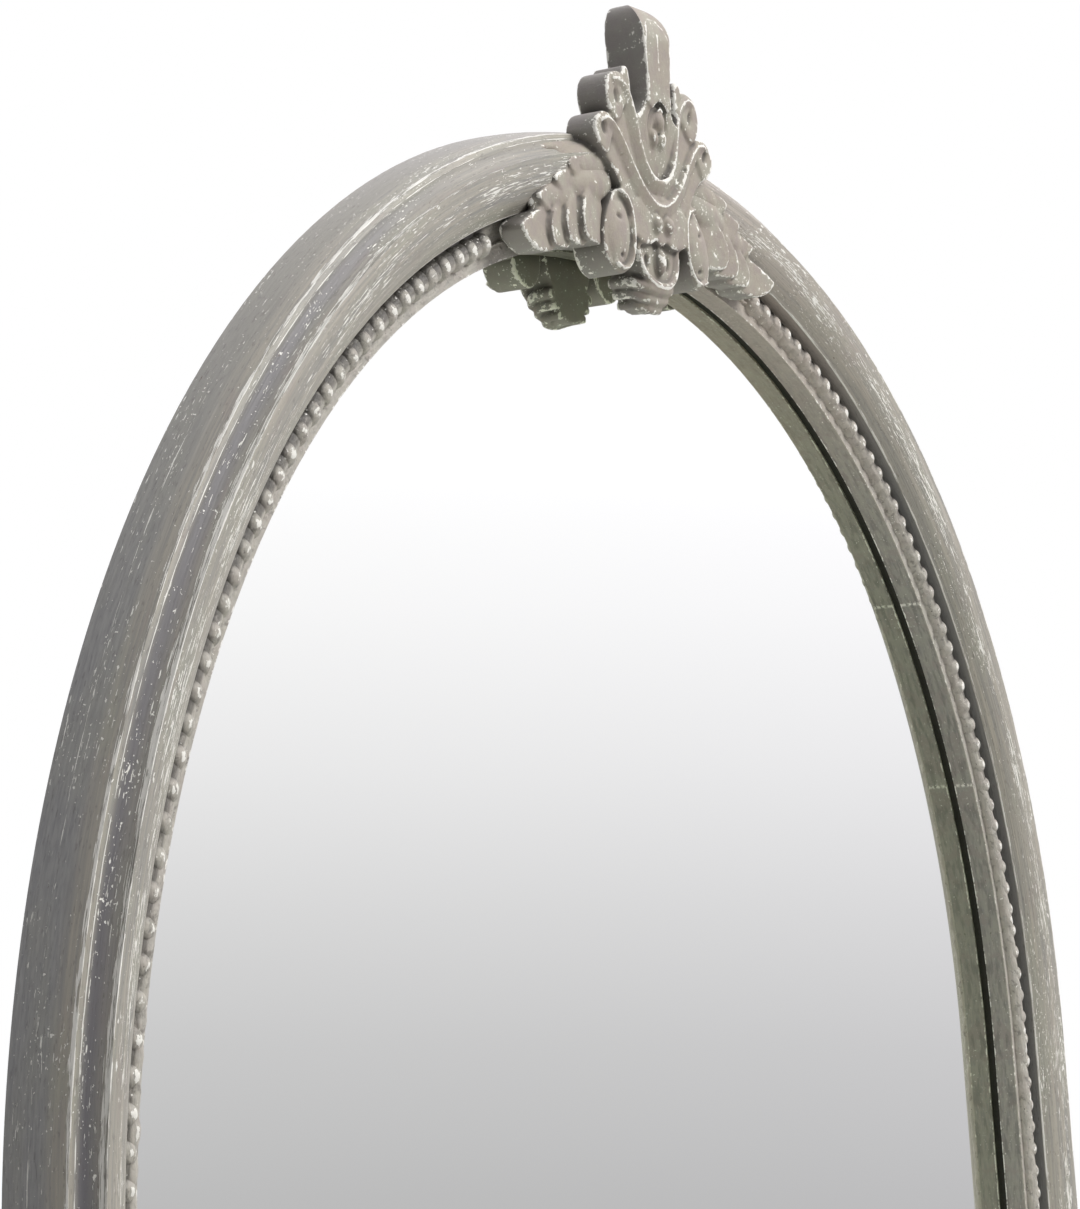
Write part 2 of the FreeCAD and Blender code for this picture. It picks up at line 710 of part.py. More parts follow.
def cartouche_shape():
    """Plume, three pairs of lobes, shield, volutes and stepped tail as one carving."""
    front = d.crest_front.value
    back = d.crest_back.value
    pieces = [plume()]
    columns = zip(LOBE_ROOT_X_SHARES, LOBE_ROOT_Z_SHARES, LOBE_TIP_X_SHARES, LOBE_TIP_Z_SHARES,
                  LOBE_RADIUS_SHARES, LOBE_FRONT_SHARES)
    for root_x, root_z, tip_x, tip_z, radius, depth in columns:
        for side in (-1, 1):
            pieces.append(lobe((side * root_x * half_width, root_z * rise),
                               (side * tip_x * half_width, tip_z * rise),
                               radius * half_width, depth * front, back))
    pieces.append(lobe((0, SHIELD_LOW_SHARE * rise), (0, SHIELD_HIGH_SHARE * rise),
                       SHIELD_RADIUS_SHARE * half_width, SHIELD_FRONT_SHARE * front, hanging_back))
    for side in (-1, 1):
        spots = [(side * x * half_width, z * rise) for x, z in zip(VOLUTE_X_SHARES, VOLUTE_Z_SHARES)]
        pieces.append(lobe(*spots, VOLUTE_RADIUS_SHARE * half_width, VOLUTE_FRONT_SHARE * front,
                           hanging_back))
    for low, radius, depth in zip(TAIL_LOW_SHARES, TAIL_RADIUS_SHARES, TAIL_FRONT_SHARES):
        reach = radius * half_width
        pieces.append(lobe((0, 0), (0, reach - low * drop), reach, depth * front, hanging_back))
    return pieces[0].multiFuse(pieces[1:])


def spray_shape(side):
    """A spray of leaflets on a curved vane along the sight edge."""
    front = d.spray_front.value
    reach = d.spray_reach.value
    inner = d.sight_half_width.value
    radius = d.leaflet_radius.value
    root = LEAFLET_ROOT_SHARE * radius
    band = VANE_HEIGHT_SHARE * d.spray_height.value

    def spot(along, up):
        turn = math.asin(along / inner)
        return (side * math.sin(turn) * (inner + up), math.cos(turn) * (inner + up) - inner)
    first = SPRAY_START_SHARE
    last = LEAFLET_PLACE_SHARES[-1]
    ends = [arch_centre + Vector(x, frame_back.value - hanging_back, z + inner)
            for up in (0, band)
            for x, z in (spot(share * reach, up) for share in (first, (first + last) * HALF, last))]
    rim = [Part.Arc(*ends[:3]), Part.LineSegment(ends[2], ends[5]), Part.Arc(*ends[:2:-1]),
           Part.LineSegment(ends[3], ends[0])]
    vane = Part.Face(Part.Wire([edge.toShape() for edge in rim]))
    pieces = [vane.extrude(-BACKWARD * (VANE_FRONT_SHARE * front - hanging_back))]
    for share in LEAFLET_PLACE_SHARES:
        tip = spot((share + LEAFLET_LEAN_SHARE) * reach, d.spray_height.value - radius)
        pieces.append(lobe(spot(share * reach, root), tip, radius, front, hanging_back))
    tip = spot(reach - radius, root)
    pieces.append(lobe(spot((last - LEAFLET_LEAN_SHARE) * reach, root), tip, radius, front, hanging_back))
    return pieces[0].multiFuse(pieces[1:])


doc.recompute()
behind_crest = [arch_runs["arch_crown_left"].Shape, arch_runs["arch_crown_right"].Shape,
                arch_slips["left"].Shape, arch_slips["right"].Shape]
crest_bores = crest_dowel_group(d.dowel_play.value)
cartouche = cartouche_shape().cut([*behind_crest, crest_bores])
keep(group("crest_cartouche_carving", cartouche), "crest_cartouche")
for side, word in ((-1, "left"), (1, "right")):
    spray = spray_shape(side).cut([*behind_crest, cartouche, crest_bores])
    keep(group(f"leaf_spray_{word}_carving", spray), f"leaf_spray_{word}")

# Dowels and screws
keep(group("arch_dowel_group", dowel_group(0)), "arch_dowels")
keep(group("mitre_dowel_group", mitre_dowel_group(0)), "mitre_dowels")
keep(group("crest_dowel_group", crest_dowel_group(0)), "crest_dowels")
keep(group("board_screw_group", Part.makeCompound([screw(seat) for seat in board_screw_places()])),
     "board_screws")
keep(group("hanger_screw_group", Part.makeCompound([screw(seat) for seat in hanger_screw_places()])),
     "hanger_screws")

# Ring hangers: a strap whose end is rolled round the straight side of a D-shaped ring
hanger_reach = d.sight_half_width + d.hanger_out
loop_bore = d.ring_wire_radius + d.ring_play
loop_radius = loop_bore + d.loop_wall
for side, word in ((-1, "left"), (1, "right")):
    middle = hanger_reach if side > 0 else -hanger_reach
    start = middle - d.strap_width * HALF
    strap = doc.addObject("Part::Box", f"strap_{word}")
    bind(strap, "Length", d.strap_width)
    bind(strap, "Width", d.strap_thickness)
    bind(strap, "Height", d.strap_length)
    place(strap, x=start, z=-d.strap_length)
    rolled = []
    for part_name, radius in (("roll", loop_radius), ("roll_bore", loop_bore)):
        roll = doc.addObject("Part::Cylinder", f"{part_name}_{word}")
        bind(roll, "Radius", radius)
        bind(roll, "Height", d.strap_width)
        place(roll, x=start, y=d.pivot_stand, axis=BACKWARD, turn=d.quarter_turn)
        rolled.append(roll)
    whole = doc.addObject("Part::Fuse", f"strap_and_roll_{word}")
    whole.Base = strap
    whole.Tool = rolled[0]
    opened = doc.addObject("Part::Cut", f"strap_opened_{word}")
    opened.Base = whole
    opened.Tool = rolled[1]
    bored(opened, f"hanger_strap_{word}")

    bow = doc.addObject("Part::Torus", f"ring_bow_{word}")
    bind(bow, "Radius1", d.ring_bend_radius)
    bind(bow, "Radius2", d.ring_wire_radius)
    bow.Angle3 = d.quarter_turn.value * 2
    place(bow, x=middle, y=d.pivot_stand, axis=ACROSS, turn=-d.quarter_turn)
    bar = doc.addObject("Part::Cylinder", f"ring_bar_{word}")
    bind(bar, "Radius", d.ring_wire_radius)
    bind(bar, "Height", d.ring_bend_radius * 2)
    place(bar, x=middle - d.ring_bend_radius, y=d.pivot_stand, axis=BACKWARD, turn=d.quarter_turn)
    corners = []
    for edge, across in (("near", -d.ring_bend_radius), ("far", d.ring_bend_radius)):
        corner = doc.addObject("Part::Sphere", f"ring_corner_{edge}_{word}")
        bind(corner, "Radius", d.ring_wire_radius)
        place(corner, x=middle + across, y=d.pivot_stand)
        corners.append(corner)
    ring = doc.addObject("Part::MultiFuse", f"ring_{word}")
    ring.Shapes = [bow, bar, *corners]
    keep(ring, f"hanger_ring_{word}")

# Wall bumpers at the foot of the board
pads = []
for side, word in ((-1, "left"), (1, "right")):
    bumper = doc.addObject("Part::Cylinder", f"bumper_{word}")
    bind(bumper, "Radius", d.bumper_radius)
    bind(bumper, "Height", d.bumper_height)
    reach = board_half_width - d.bumper_inset
    place(bumper, x=reach if side > 0 else -reach, z=bottom_level + d.bumper_inset,
          axis=ACROSS, turn=-d.quarter_turn)
    pads.append(bumper)
bumpers = doc.addObject("Part::Compound", "wall_bumper_pair")
bumpers.Links = pads
keep(bumpers, "wall_bumpers")

doc.recompute()
for obj in doc.Objects:
    if {"Invalid", "Error"} & set(obj.State):
        raise RuntimeError(f"{obj.Label} failed: {obj.State}")
os.makedirs("parts", exist_ok=True)
for obj in nodes:
    shape = obj.Shape
    if shape.isNull() or not shape.isValid() or not shape.Solids:
        raise RuntimeError(f"{obj.Label} has no valid solid")
    shape.exportStep(f"parts/{obj.Label}.step")
    box = shape.optimalBoundingBox()
    print(f"{obj.Label}: {len(shape.Solids)} solids, {shape.Volume:.0f} mm3, "
          f"x {box.XMin:.1f} {box.XMax:.1f} y {box.YMin:.1f} {box.YMax:.1f} "
          f"z {box.ZMin:.1f} {box.ZMax:.1f}")
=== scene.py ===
# %% [markdown]
# # An arched mirror with a carved crest
# The frame, the glass and the fittings are solids that were measured and packed before. This
# script loads them, paints them, carves a finer crest over the plain one, and lights the scene.
# Nothing that was packed is moved, so each new piece is placed by the same measurements.

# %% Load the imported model
import math

import bpy
import numpy as np
from mathutils import Matrix, Vector


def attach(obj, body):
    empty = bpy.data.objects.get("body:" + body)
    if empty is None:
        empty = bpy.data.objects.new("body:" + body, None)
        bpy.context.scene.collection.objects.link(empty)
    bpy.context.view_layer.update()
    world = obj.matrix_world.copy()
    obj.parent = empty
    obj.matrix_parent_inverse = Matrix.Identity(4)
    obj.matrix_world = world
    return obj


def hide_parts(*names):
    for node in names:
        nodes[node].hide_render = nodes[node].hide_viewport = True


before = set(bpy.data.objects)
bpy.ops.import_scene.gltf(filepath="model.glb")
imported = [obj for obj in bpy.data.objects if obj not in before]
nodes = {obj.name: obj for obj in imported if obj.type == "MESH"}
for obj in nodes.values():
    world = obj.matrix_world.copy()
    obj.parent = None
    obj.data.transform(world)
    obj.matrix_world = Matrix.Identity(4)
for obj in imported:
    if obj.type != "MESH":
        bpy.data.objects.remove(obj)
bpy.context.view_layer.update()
print("packed nodes:", len(nodes))

# %% [markdown]
# ## Measurements
# The mirror stands upright with its glass facing -Y. Its arch is a true half circle about the
# spring point. Everything on the frame is easiest to describe by two numbers: how far out it lies
# from the sight edge, where the glass begins, and how far it stands proud of the slip's flat face.

# %% Shared measurements, in metres
MM = 0.001
SIGHT_HALF_WIDTH = 0.400
SPRING_LEVEL = 0.080
SIGHT_FLOOR = -1.220
SLIP_FACE = -0.022
FLOOR_LEVEL = -1.2705


def on_crest(x, height, proud):
    """A point of the crest in metres, from millimetres across, above the spring and proud of the slip."""
    return Vector((x * MM, SLIP_FACE - proud * MM, SPRING_LEVEL + height * MM))


print("crest foot:", on_crest(0, 370, 0))

# %% [markdown]
# ## Camera
# The picture was taken with a long lens from the left, with the mirror leaning back a little. The
# mirror here stands upright, so the lean is in the camera: it rolls and looks up slightly.

# %% Camera
FOCAL_PIXELS = 3069.47
IMAGE_HEIGHT_PIXELS = 1209
YAW, PITCH, ROLL = 1.0682, 0.0466, -0.0738
CAMERA_PLACE = Vector((-1.19904, -0.62648, 0.26504))

look = Vector((math.sin(YAW) * math.cos(PITCH), math.cos(YAW) * math.cos(PITCH), math.sin(PITCH)))
level = Vector((math.cos(YAW), -math.sin(YAW), 0))
upright = level.cross(look)
rightward = level * math.cos(ROLL) + upright * math.sin(ROLL)
upward = upright * math.cos(ROLL) - level * math.sin(ROLL)
bpy.ops.object.camera_add()
camera = bpy.context.object
turn = Matrix((rightward, upward, -look)).transposed().to_4x4()
camera.matrix_world = Matrix.Translation(CAMERA_PLACE) @ turn
camera.data.lens = FOCAL_PIXELS / IMAGE_HEIGHT_PIXELS * camera.data.sensor_width
bpy.context.scene.camera = camera
print("lens:", round(camera.data.lens, 1), "mm")

# %% [markdown]
# ## Shader helper
# Paint that is worn along its edges needs a good deal of arithmetic on coordinates. Adding each
# Math node by hand hides the idea, so a small class lets sockets be added and multiplied as numbers.


# %% Sockets as numbers
class Amount:
    """A socket that changes over a surface, usable in plain arithmetic."""

    def __init__(self, tree, socket):
        self.tree = tree
        self.socket = socket

    def math(self, operation, first, second=0.0, third=0.0):
        return self.tree.node("ShaderNodeMath", {"operation": operation}, {0: first, 1: second, 2: third})

    def __add__(self, other):
        return self.math("ADD", self, other)

    def __sub__(self, other):
        return self.math("SUBTRACT", self, other)

    def __rsub__(self, other):
        return self.math("SUBTRACT", other, self)

    def __mul__(self, other):
        return self.math("MULTIPLY", self, other)

    def __truediv__(self, other):
        return self.math("DIVIDE", self, other)

    __radd__ = __add__
    __rmul__ = __mul__

    def most(self, other):
        return self.math("MAXIMUM", self, other)

    def least(self, other):
        return self.math("MINIMUM", self, other)

    def size(self):
        return self.math("ABSOLUTE", self)

    def root(self):
        return self.math("SQRT", self)

    def turn(self, other):
        return self.math("ARCTAN2", self, other)

    def rise(self, low, high):
        """0 below low, 1 above high, and smooth between."""
        return self.tree.node("ShaderNodeMapRange", {"interpolation_type": "SMOOTHSTEP"},
                              {"Value": self, "From Min": low, "From Max": high})

    def line(self, middle, half_width):
        """1 at a middle value, falling to 0 at half a width to either side."""
        return 1 - ((self - middle).size() / half_width).rise(0.0, 1.0)


class Tree:
    """A node tree with one way to add a node: its type, its settings, then its inputs."""

    def __init__(self, tree):
        self.nodes = tree.nodes
        self.links = tree.links

    def node(self, kind, settings=None, inputs=None, output=0):
        made = self.nodes.new(kind)
        for name, value in (settings or {}).items():
            if name == "stops":
                self.set_stops(made.color_ramp, value)
            else:
                setattr(made, name, value)
        for name, value in (inputs or {}).items():
            if isinstance(value, Amount):
                self.links.new(value.socket, made.inputs[name])
            else:
                made.inputs[name].default_value = value
        return Amount(self, made.outputs[output])

    @staticmethod
    def set_stops(ramp, stops):
        while len(ramp.elements) < len(stops):
            ramp.elements.new(1.0)
        for element, (place, colour) in zip(ramp.elements, stops):
            element.position = place
            element.color = (*colour, 1.0)

    def mix(self, share, first, second):
        """A colour between two colours."""
        return self.node("ShaderNodeMix", {"data_type": "RGBA"},
                         {0: share, 6: self.colour(first), 7: self.colour(second)}, output=2)

    @staticmethod
    def colour(value):
        return value if isinstance(value, Amount) else (*value, 1.0)

    def noise(self, vector, scale, detail=3.0, roughness=0.55):
        return self.node("ShaderNodeTexNoise", {"normalize": True},
                         {"Vector": vector, "Scale": scale, "Detail": detail, "Roughness": roughness})

    def vector(self, x, y, z):
        return self.node("ShaderNodeCombineXYZ", None, {0: x, 1: y, 2: z})

    def openness(self, reach):
        """How open a spot is to what lies within a reach, in metres: 0 deep in a corner, 1 in the open."""
        return self.node("ShaderNodeAmbientOcclusion", {"samples": 8}, {"Distance": reach}, output="AO")

    def place(self):
        """Object coordinates, and their three parts."""
        whole = self.node("ShaderNodeTexCoord", output="Object")
        return whole, [self.node("ShaderNodeSeparateXYZ", None, {0: whole}, output=i) for i in range(3)]


class Finish(Tree):
    """A material whose Principled shader has fixed values set on its own sockets."""

    def __init__(self, name, **fixed):
        self.material = bpy.data.materials.new(name)
        self.material.use_nodes = True
        super().__init__(self.material.node_tree)
        self.shader = self.nodes["Principled BSDF"]
        for socket, value in fixed.items():
            self.shader.inputs[socket.replace("_", " ")].default_value = value

    def feed(self, socket, amount):
        self.links.new(amount.socket, self.shader.inputs[socket])

    def bump(self, height, distance, strength=1.0):
        self.feed("Normal", self.node("ShaderNodeBump", None, {
            "Height": height, "Distance": distance, "Strength": strength}))

    def onto(self, *objects):
        for obj in objects:
            obj.data.materials.clear()
            obj.data.materials.append(self.material)


print("shader helper ready")

# %% [markdown]
# ## Moulding coordinates
# The strokes and the wear of the paint follow the moulding round the arch. A pattern on plain
# coordinates would run straight through it, and unwrapping every solid would leave seams. So the
# material works out where a spot lies on the frame: how far out from the sight edge, how far along,
# and how proud. The right side counts from a large number, so the two sides don't look alike.

# %% A finish that knows the frame
# The radius that lengths along the arch are measured at, and the right side's first number, in millimetres
ARCH_MIDDLE_REACH = 430
RIGHT_SIDE_START = 5000
# Half the width of the blend between the two sides, and at the mitres, in metres
SIDE_SPLIT = 0.0001
MITRE_SPLIT = 0.0005


class FramePaint(Finish):
    """A finish with the moulding's own coordinates, in millimetres."""

    def __init__(self, name, shine):
        super().__init__(name, Specular_IOR_Level=shine)
        _, (x, y, z) = self.place()
        above = z - SPRING_LEVEL
        arch_reach = above.most(0.0)
        self.from_middle = x.size()
        radial = (arch_reach * arch_reach + self.from_middle * self.from_middle).root() - SIGHT_HALF_WIDTH
        below = SIGHT_FLOOR - z
        on_rail = (below - radial).rise(-MITRE_SPLIT, MITRE_SPLIT)
        round_arch = arch_reach.turn(self.from_middle) * ARCH_MIDDLE_REACH
        along_side = round_arch + above.least(0.0) / MM + x.rise(-SIDE_SPLIT, SIDE_SPLIT) * RIGHT_SIDE_START
        self.out = radial.most(below) / MM
        self.along = along_side * (1 - on_rail) + x / MM * on_rail
        self.proud = (SLIP_FACE - y) / MM
        self.on_right = self.along.rise(RIGHT_SIDE_START / 2 - 1, RIGHT_SIDE_START / 2 + 1)
        self.past_spring = self.along - self.on_right * RIGHT_SIDE_START

    def grain(self, length, width, detail=2.0, skew=0.0):
        """Noise drawn out along the frame: the length and width of its grains, and how much they slant."""
        across = self.out + self.along * skew if skew else self.out
        return self.noise(self.vector(self.along / length, across / width, self.proud / width), 1.0, detail)


print("the right side counts from", RIGHT_SIDE_START, "mm")

# %% [markdown]
# ## Worn grey paint
# The frame is painted in brushed coats of warm and cool grey, then rubbed back. White undercoat
# shows in a broken line along each ridge, in streaks along the brush strokes, and in small chips.
# An image painted by hand would blur close up. Here every stroke is noise that is stretched along
# the moulding, and a chip is where several noises together pass a limit.

# %% Where the white undercoat shows
UNDERCOAT = (0.94, 0.93, 0.89)
# Places across the moulding: millimetres out from the sight edge, and half the width
RIDGES = ((46.5, 1.2), (44.3, 0.7), (37.4, 1.6))
FADING_RIDGES = (40.0, 6.0)
FLAKED_BAND = (35.0, 5.0)
BRUSHED_BAND = (29.0, 9.0)
# From where to where the outer side takes over
SIDE_OUT = (47.6, 49.0)
# Lines on the outer side: how proud they lie, and half the width
BACK_EDGE = (-22.0, 1.8)
CHIPPED_LINE = (-5.0, 1.1)


def rubbed_edges(paint, step_arris, near_crest):
    """Where a hand or a cloth rubs: 1 on the ridges, the step's arris and the lines of the side."""
    edges = step_arris
    for ridge in RIDGES:
        edges = edges.most(paint.out.line(*ridge))
    # The rubbed lines give way to broad brushing near the crest
    edges = edges * (1 - near_crest * paint.out.line(*FADING_RIDGES) * 0.5)
    side_lines = paint.proud.line(*BACK_EDGE).most(paint.proud.line(*CHIPPED_LINE) * 0.85)
    return edges.most(paint.out.rise(*SIDE_OUT) * side_lines * (1 - near_crest))


def broken_white(paint, edges, near_crest):
    """Where the white undercoat shows: a share from 0 to 1."""
    brushed = paint.out.line(*BRUSHED_BAND) * (0.95 + near_crest * (1 - paint.on_right) * 0.25)
    clusters = paint.grain(60.0, 12.0)
    runs = paint.grain(30.0, 3.0)
    threads = paint.grain(11.0, 0.42, 4.0)
    scratches = paint.grain(9.0, 0.6, 4.0)
    flecks = paint.grain(6.0, 0.8, 3.0)
    flakes = paint.grain(7.0, 2.6, 5.0)
    dots = paint.grain(1.5, 1.0, 1.0)
    rubbed = (edges * 0.36 + runs * 0.30 + threads * 0.55).rise(0.735, 0.76)
    spared = near_crest * paint.on_right * 0.03
    scratched = (scratches + clusters * 0.34 + brushed * 0.15 - spared).rise(0.875, 0.90)
    flecked = (flecks + clusters * 0.36 + brushed * 0.05).rise(0.862, 0.882)
    flaked = (flakes + clusters * 0.34 + paint.out.line(*FLAKED_BAND) * 0.09).rise(0.905, 0.915)
    dotted = (dots + clusters * 0.30).rise(0.872, 0.892)
    return rubbed.most(scratched).most(flecked).most(flaked).most(dotted)


print("rubbed ridges:", len(RIDGES))

# %% [markdown]
# The coats under the white change over the section. The hump is a warm grey. The cove is a dark
# bluish grey, a painted shade, and darker still round the arch. The outer side and the step's wall
# are a darker grey, a painted shade on faces turned from the lamp, and the outer side turns a lighter
# olive up the arch, partly a painted light where it faces up. A paler line on the step's arris is a
# painted highlight. Each is mixed over the last with a mask from the moulding's coordinates.

# %% Moulding paint
WARM_GREY = (0.465, 0.435, 0.372)
COOL_GREY = (0.31, 0.305, 0.286)
OLIVE_GREY = (0.345, 0.332, 0.285)
SAGE_GREY = (0.41, 0.405, 0.34)
TAN_GREY = (0.50, 0.435, 0.38)
ROSE_GREY = (0.37, 0.325, 0.295)
PALE_GREY = (0.56, 0.535, 0.49)
# Painted shade: the bluish dark grey of the shaded cove
COVE_SHADE_BLUE = (0.178, 0.178, 0.212)
# Painted shade: a darker grey for faces turned from the lamp, on the outer side, the step's wall, the wall
# beside the glass and the carving's cut sides
SHADED_SIDE_GREY = (0.256, 0.259, 0.264)
SIDE_PALE = (0.385, 0.387, 0.382)
BARE_WOOD = (0.13, 0.09, 0.065)
# Dark brown for real dirt, pits and blotches, and for painted shade in corners, hollows, gaps and the cove
DUST_AND_SHADE = (0.085, 0.08, 0.07)
# Millimetres out from the sight edge, and half the width
COVE = (41.2, 4.6)
# The step down to the slip: its wall, and the arris at the top of the wall
STEP_OUT, STEP_PROUD = 17.0, 7.2
STEP_WALL = (STEP_OUT, 0.6)
STEP_ARRIS = (STEP_OUT, 1.3)
STEP_TOP = (STEP_PROUD - 0.8, STEP_PROUD - 0.3)
# From where to where a change comes in, in millimetres past the spring
NEAR_CREST = (330.0, 560.0)
ON_ARCH = (180.0, 460.0)
ON_HAUNCH = (-150.0, 120.0)


def side_coat(paint, strokes, clouds):
    """The outer side: fine brush hairs in a darker grey, a painted shade, turning a lighter olive up the
    arch, which is partly a painted light where the side faces up.
    """
    hairs = paint.grain(8.0, 0.8, 5.0)
    coat = paint.mix(hairs.rise(0.34, 0.68) * 0.7 + strokes.rise(0.36, 0.62) * 0.2, SHADED_SIDE_GREY, SIDE_PALE)
    coat = paint.mix(clouds.rise(0.45, 0.65) * 0.22, coat, SAGE_GREY)
    return paint.mix(paint.past_spring.rise(*ON_ARCH) * 0.8, coat, OLIVE_GREY)


def moulding_paint():
    paint = FramePaint("worn_grey_moulding", 0.4)
    near_crest = paint.past_spring.rise(*NEAR_CREST)
    at_top = paint.proud.rise(*STEP_TOP)
    step_arris = paint.out.line(*STEP_ARRIS) * at_top
    on_step = paint.out.line(*STEP_WALL) * (1 - at_top)
    strokes = paint.grain(40.0, 0.9, 5.0)
    bands = paint.grain(120.0, 3.4, 3.0)
    clouds = paint.grain(60.0, 12.0)
    tints = paint.grain(26.0, 5.0)
    coat = paint.mix(strokes.rise(0.34, 0.66) * 0.6 + bands.rise(0.36, 0.62) * 0.4, COOL_GREY, WARM_GREY)
    coat = paint.mix(clouds.rise(0.45, 0.65) * 0.6, coat, SAGE_GREY)
    coat = paint.mix(tints.rise(0.58, 0.70) * 0.4, coat, ROSE_GREY)
    coat = paint.mix(bands.rise(0.58, 0.72) * 0.55, coat, PALE_GREY)
    # Painted shade: the cove is darkened towards a bluish grey, less near the crest, and darker still round
    # the arch
    in_cove = paint.out.line(*COVE) * (0.65 + strokes * 0.5) * (1 - near_crest * 0.85)
    coat = paint.mix(in_cove, coat, COVE_SHADE_BLUE)
    coat = paint.mix(in_cove * paint.past_spring.rise(*ON_HAUNCH) * 0.6, coat, DUST_AND_SHADE)
    # Painted shade: the outer side takes the darker side coat
    on_side = paint.out.rise(*SIDE_OUT) * (0.84 + bands * 0.2)
    coat = paint.mix(on_side, coat, side_coat(paint, strokes, clouds))
    # Painted shade: the step's wall, which faces in, is darkened with the shaded side grey
    coat = paint.mix(on_step * 0.75, coat, SHADED_SIDE_GREY)
    # Warmer paint on the upper right, as on the carving beside it. On the step's wall it is stronger, a
    # painted light that lifts the shade painted on that wall.
    coat = paint.mix(near_crest * paint.on_right * (on_step * 0.5 + 0.35), coat, TAN_GREY)
    # Painted highlight: a paler line along the rounded arris at the top of the step
    coat = paint.mix(step_arris * 0.6, coat, PALE_GREY)
    pits = paint.grain(4.0, 0.8, 4.0)
    coat = paint.mix(pits.rise(0.56, 0.70) * 0.38, coat, DUST_AND_SHADE)
    white = broken_white(paint, rubbed_edges(paint, step_arris, near_crest), near_crest)
    coat = paint.mix(white * (1 - on_step), coat, UNDERCOAT)
    nicks = paint.grain(6.0, 1.8, 3.0)
    coat = paint.mix(nicks.rise(0.745, 0.76) * (1 - on_step), coat, BARE_WOOD)
    paint.feed("Base Color", coat)
    paint.feed("Roughness", 0.58 - strokes * 0.22)
    paint.bump(white * 0.4 + strokes * 0.6, 0.0006, 0.7)
    return paint


FRAME_NODES = [name for name in nodes if name.startswith(("stile", "arch", "bottom"))
               and not name.endswith("dowels") and "slip" not in name]
moulding_paint().onto(*[nodes[name] for name in FRAME_NODES])
print("painted mouldings:", len(FRAME_NODES))

# %% [markdown]
# ## Beaded slip
# The slip inside the moulding is the same paint, but the wear sits on what stands proud: the tops
# of the beads and the sharp edges beside the glass. Between the beads the paint is darkened, partly
# as dirt and partly as painted shade. That could be modelled, but an ambient occlusion node finds
# the corners for the painted shade and keeps the solids as they are.

# %% Slip paint
# Edges of the wall beside the glass: millimetres out from the sight edge, and half the width
FRONT_ARRIS = (0.2, 1.3)
BACK_ARRIS = (0.2, 1.1)
# From where to where a change comes in, by how proud a spot is
BEAD_TOPS = (4.0, 5.2)
BEAD_FEET = (3.0, 4.9)
WALL_TOP = (-0.8, -0.2)
FRONT_ARRIS_PROUD = (-1.4, -0.2)
BACK_ARRIS_PROUD = (-10.6, -9.2)
# The same, by how far out it is
BESIDE_BEADS = (7.5, 9.5)
BEAD_CORNERS = (7.0, 9.0)
# How near another wall makes a corner, in metres
CORNER_REACH = 0.006
# From where to where the beads come out from under the carving, in metres from the middle
BEADS_START = (0.122, 0.128)
# From where to where the right side turns warmer, in millimetres past the spring
WARM_STRETCH = (280.0, 560.0)
# Filled joints on the right of the arch, in degrees up from the spring
JOINT_TURNS = (38.0, 21.7)
JOINT_HALF_WIDTH = 1.7


def slip_coat(paint, on_wall, strokes, tints):
    """The greys of the slip: paler on its face; on the wall beside the glass, blotched, and darker by a
    painted shade.
    """
    coat = paint.mix(strokes.rise(0.35, 0.65), COOL_GREY, WARM_GREY)
    coat = paint.mix(tints.rise(0.50, 0.60) * 0.8, coat, ROSE_GREY)
    coat = paint.mix(tints.rise(0.38, 0.48) * -0.5 + 0.5, coat, SAGE_GREY)
    coat = paint.mix((1 - on_wall) * (0.32 + strokes * 0.55), coat, PALE_GREY)
    # Slanting patches across the strip are darkened, partly dirt and partly a painted shade of shallow dents
    dents = paint.grain(4.0, 3.0, 4.0, skew=0.5)
    coat = paint.mix((1 - on_wall) * dents.rise(0.55, 0.68) * 0.45, coat, DUST_AND_SHADE)
    blotches = paint.grain(14.0, 3.0, 5.0)
    coat = paint.mix(on_wall * blotches.rise(0.48, 0.62) * 0.5, coat, DUST_AND_SHADE)
    # Painted shade: the wall beside the glass, turned from the lamp, is darkened with the shaded side grey
    coat = paint.mix(on_wall * (0.15 + strokes * 0.5), coat, SHADED_SIDE_GREY)
    warm = paint.past_spring.rise(*WARM_STRETCH) * paint.on_right
    coat = paint.mix(warm * (0.35 + strokes * 0.4), coat, TAN_GREY)
    freckles = paint.grain(2.6, 1.1, 3.0)
    return paint.mix(on_wall * freckles.rise(0.62, 0.70) * 0.8, coat, PALE_GREY)


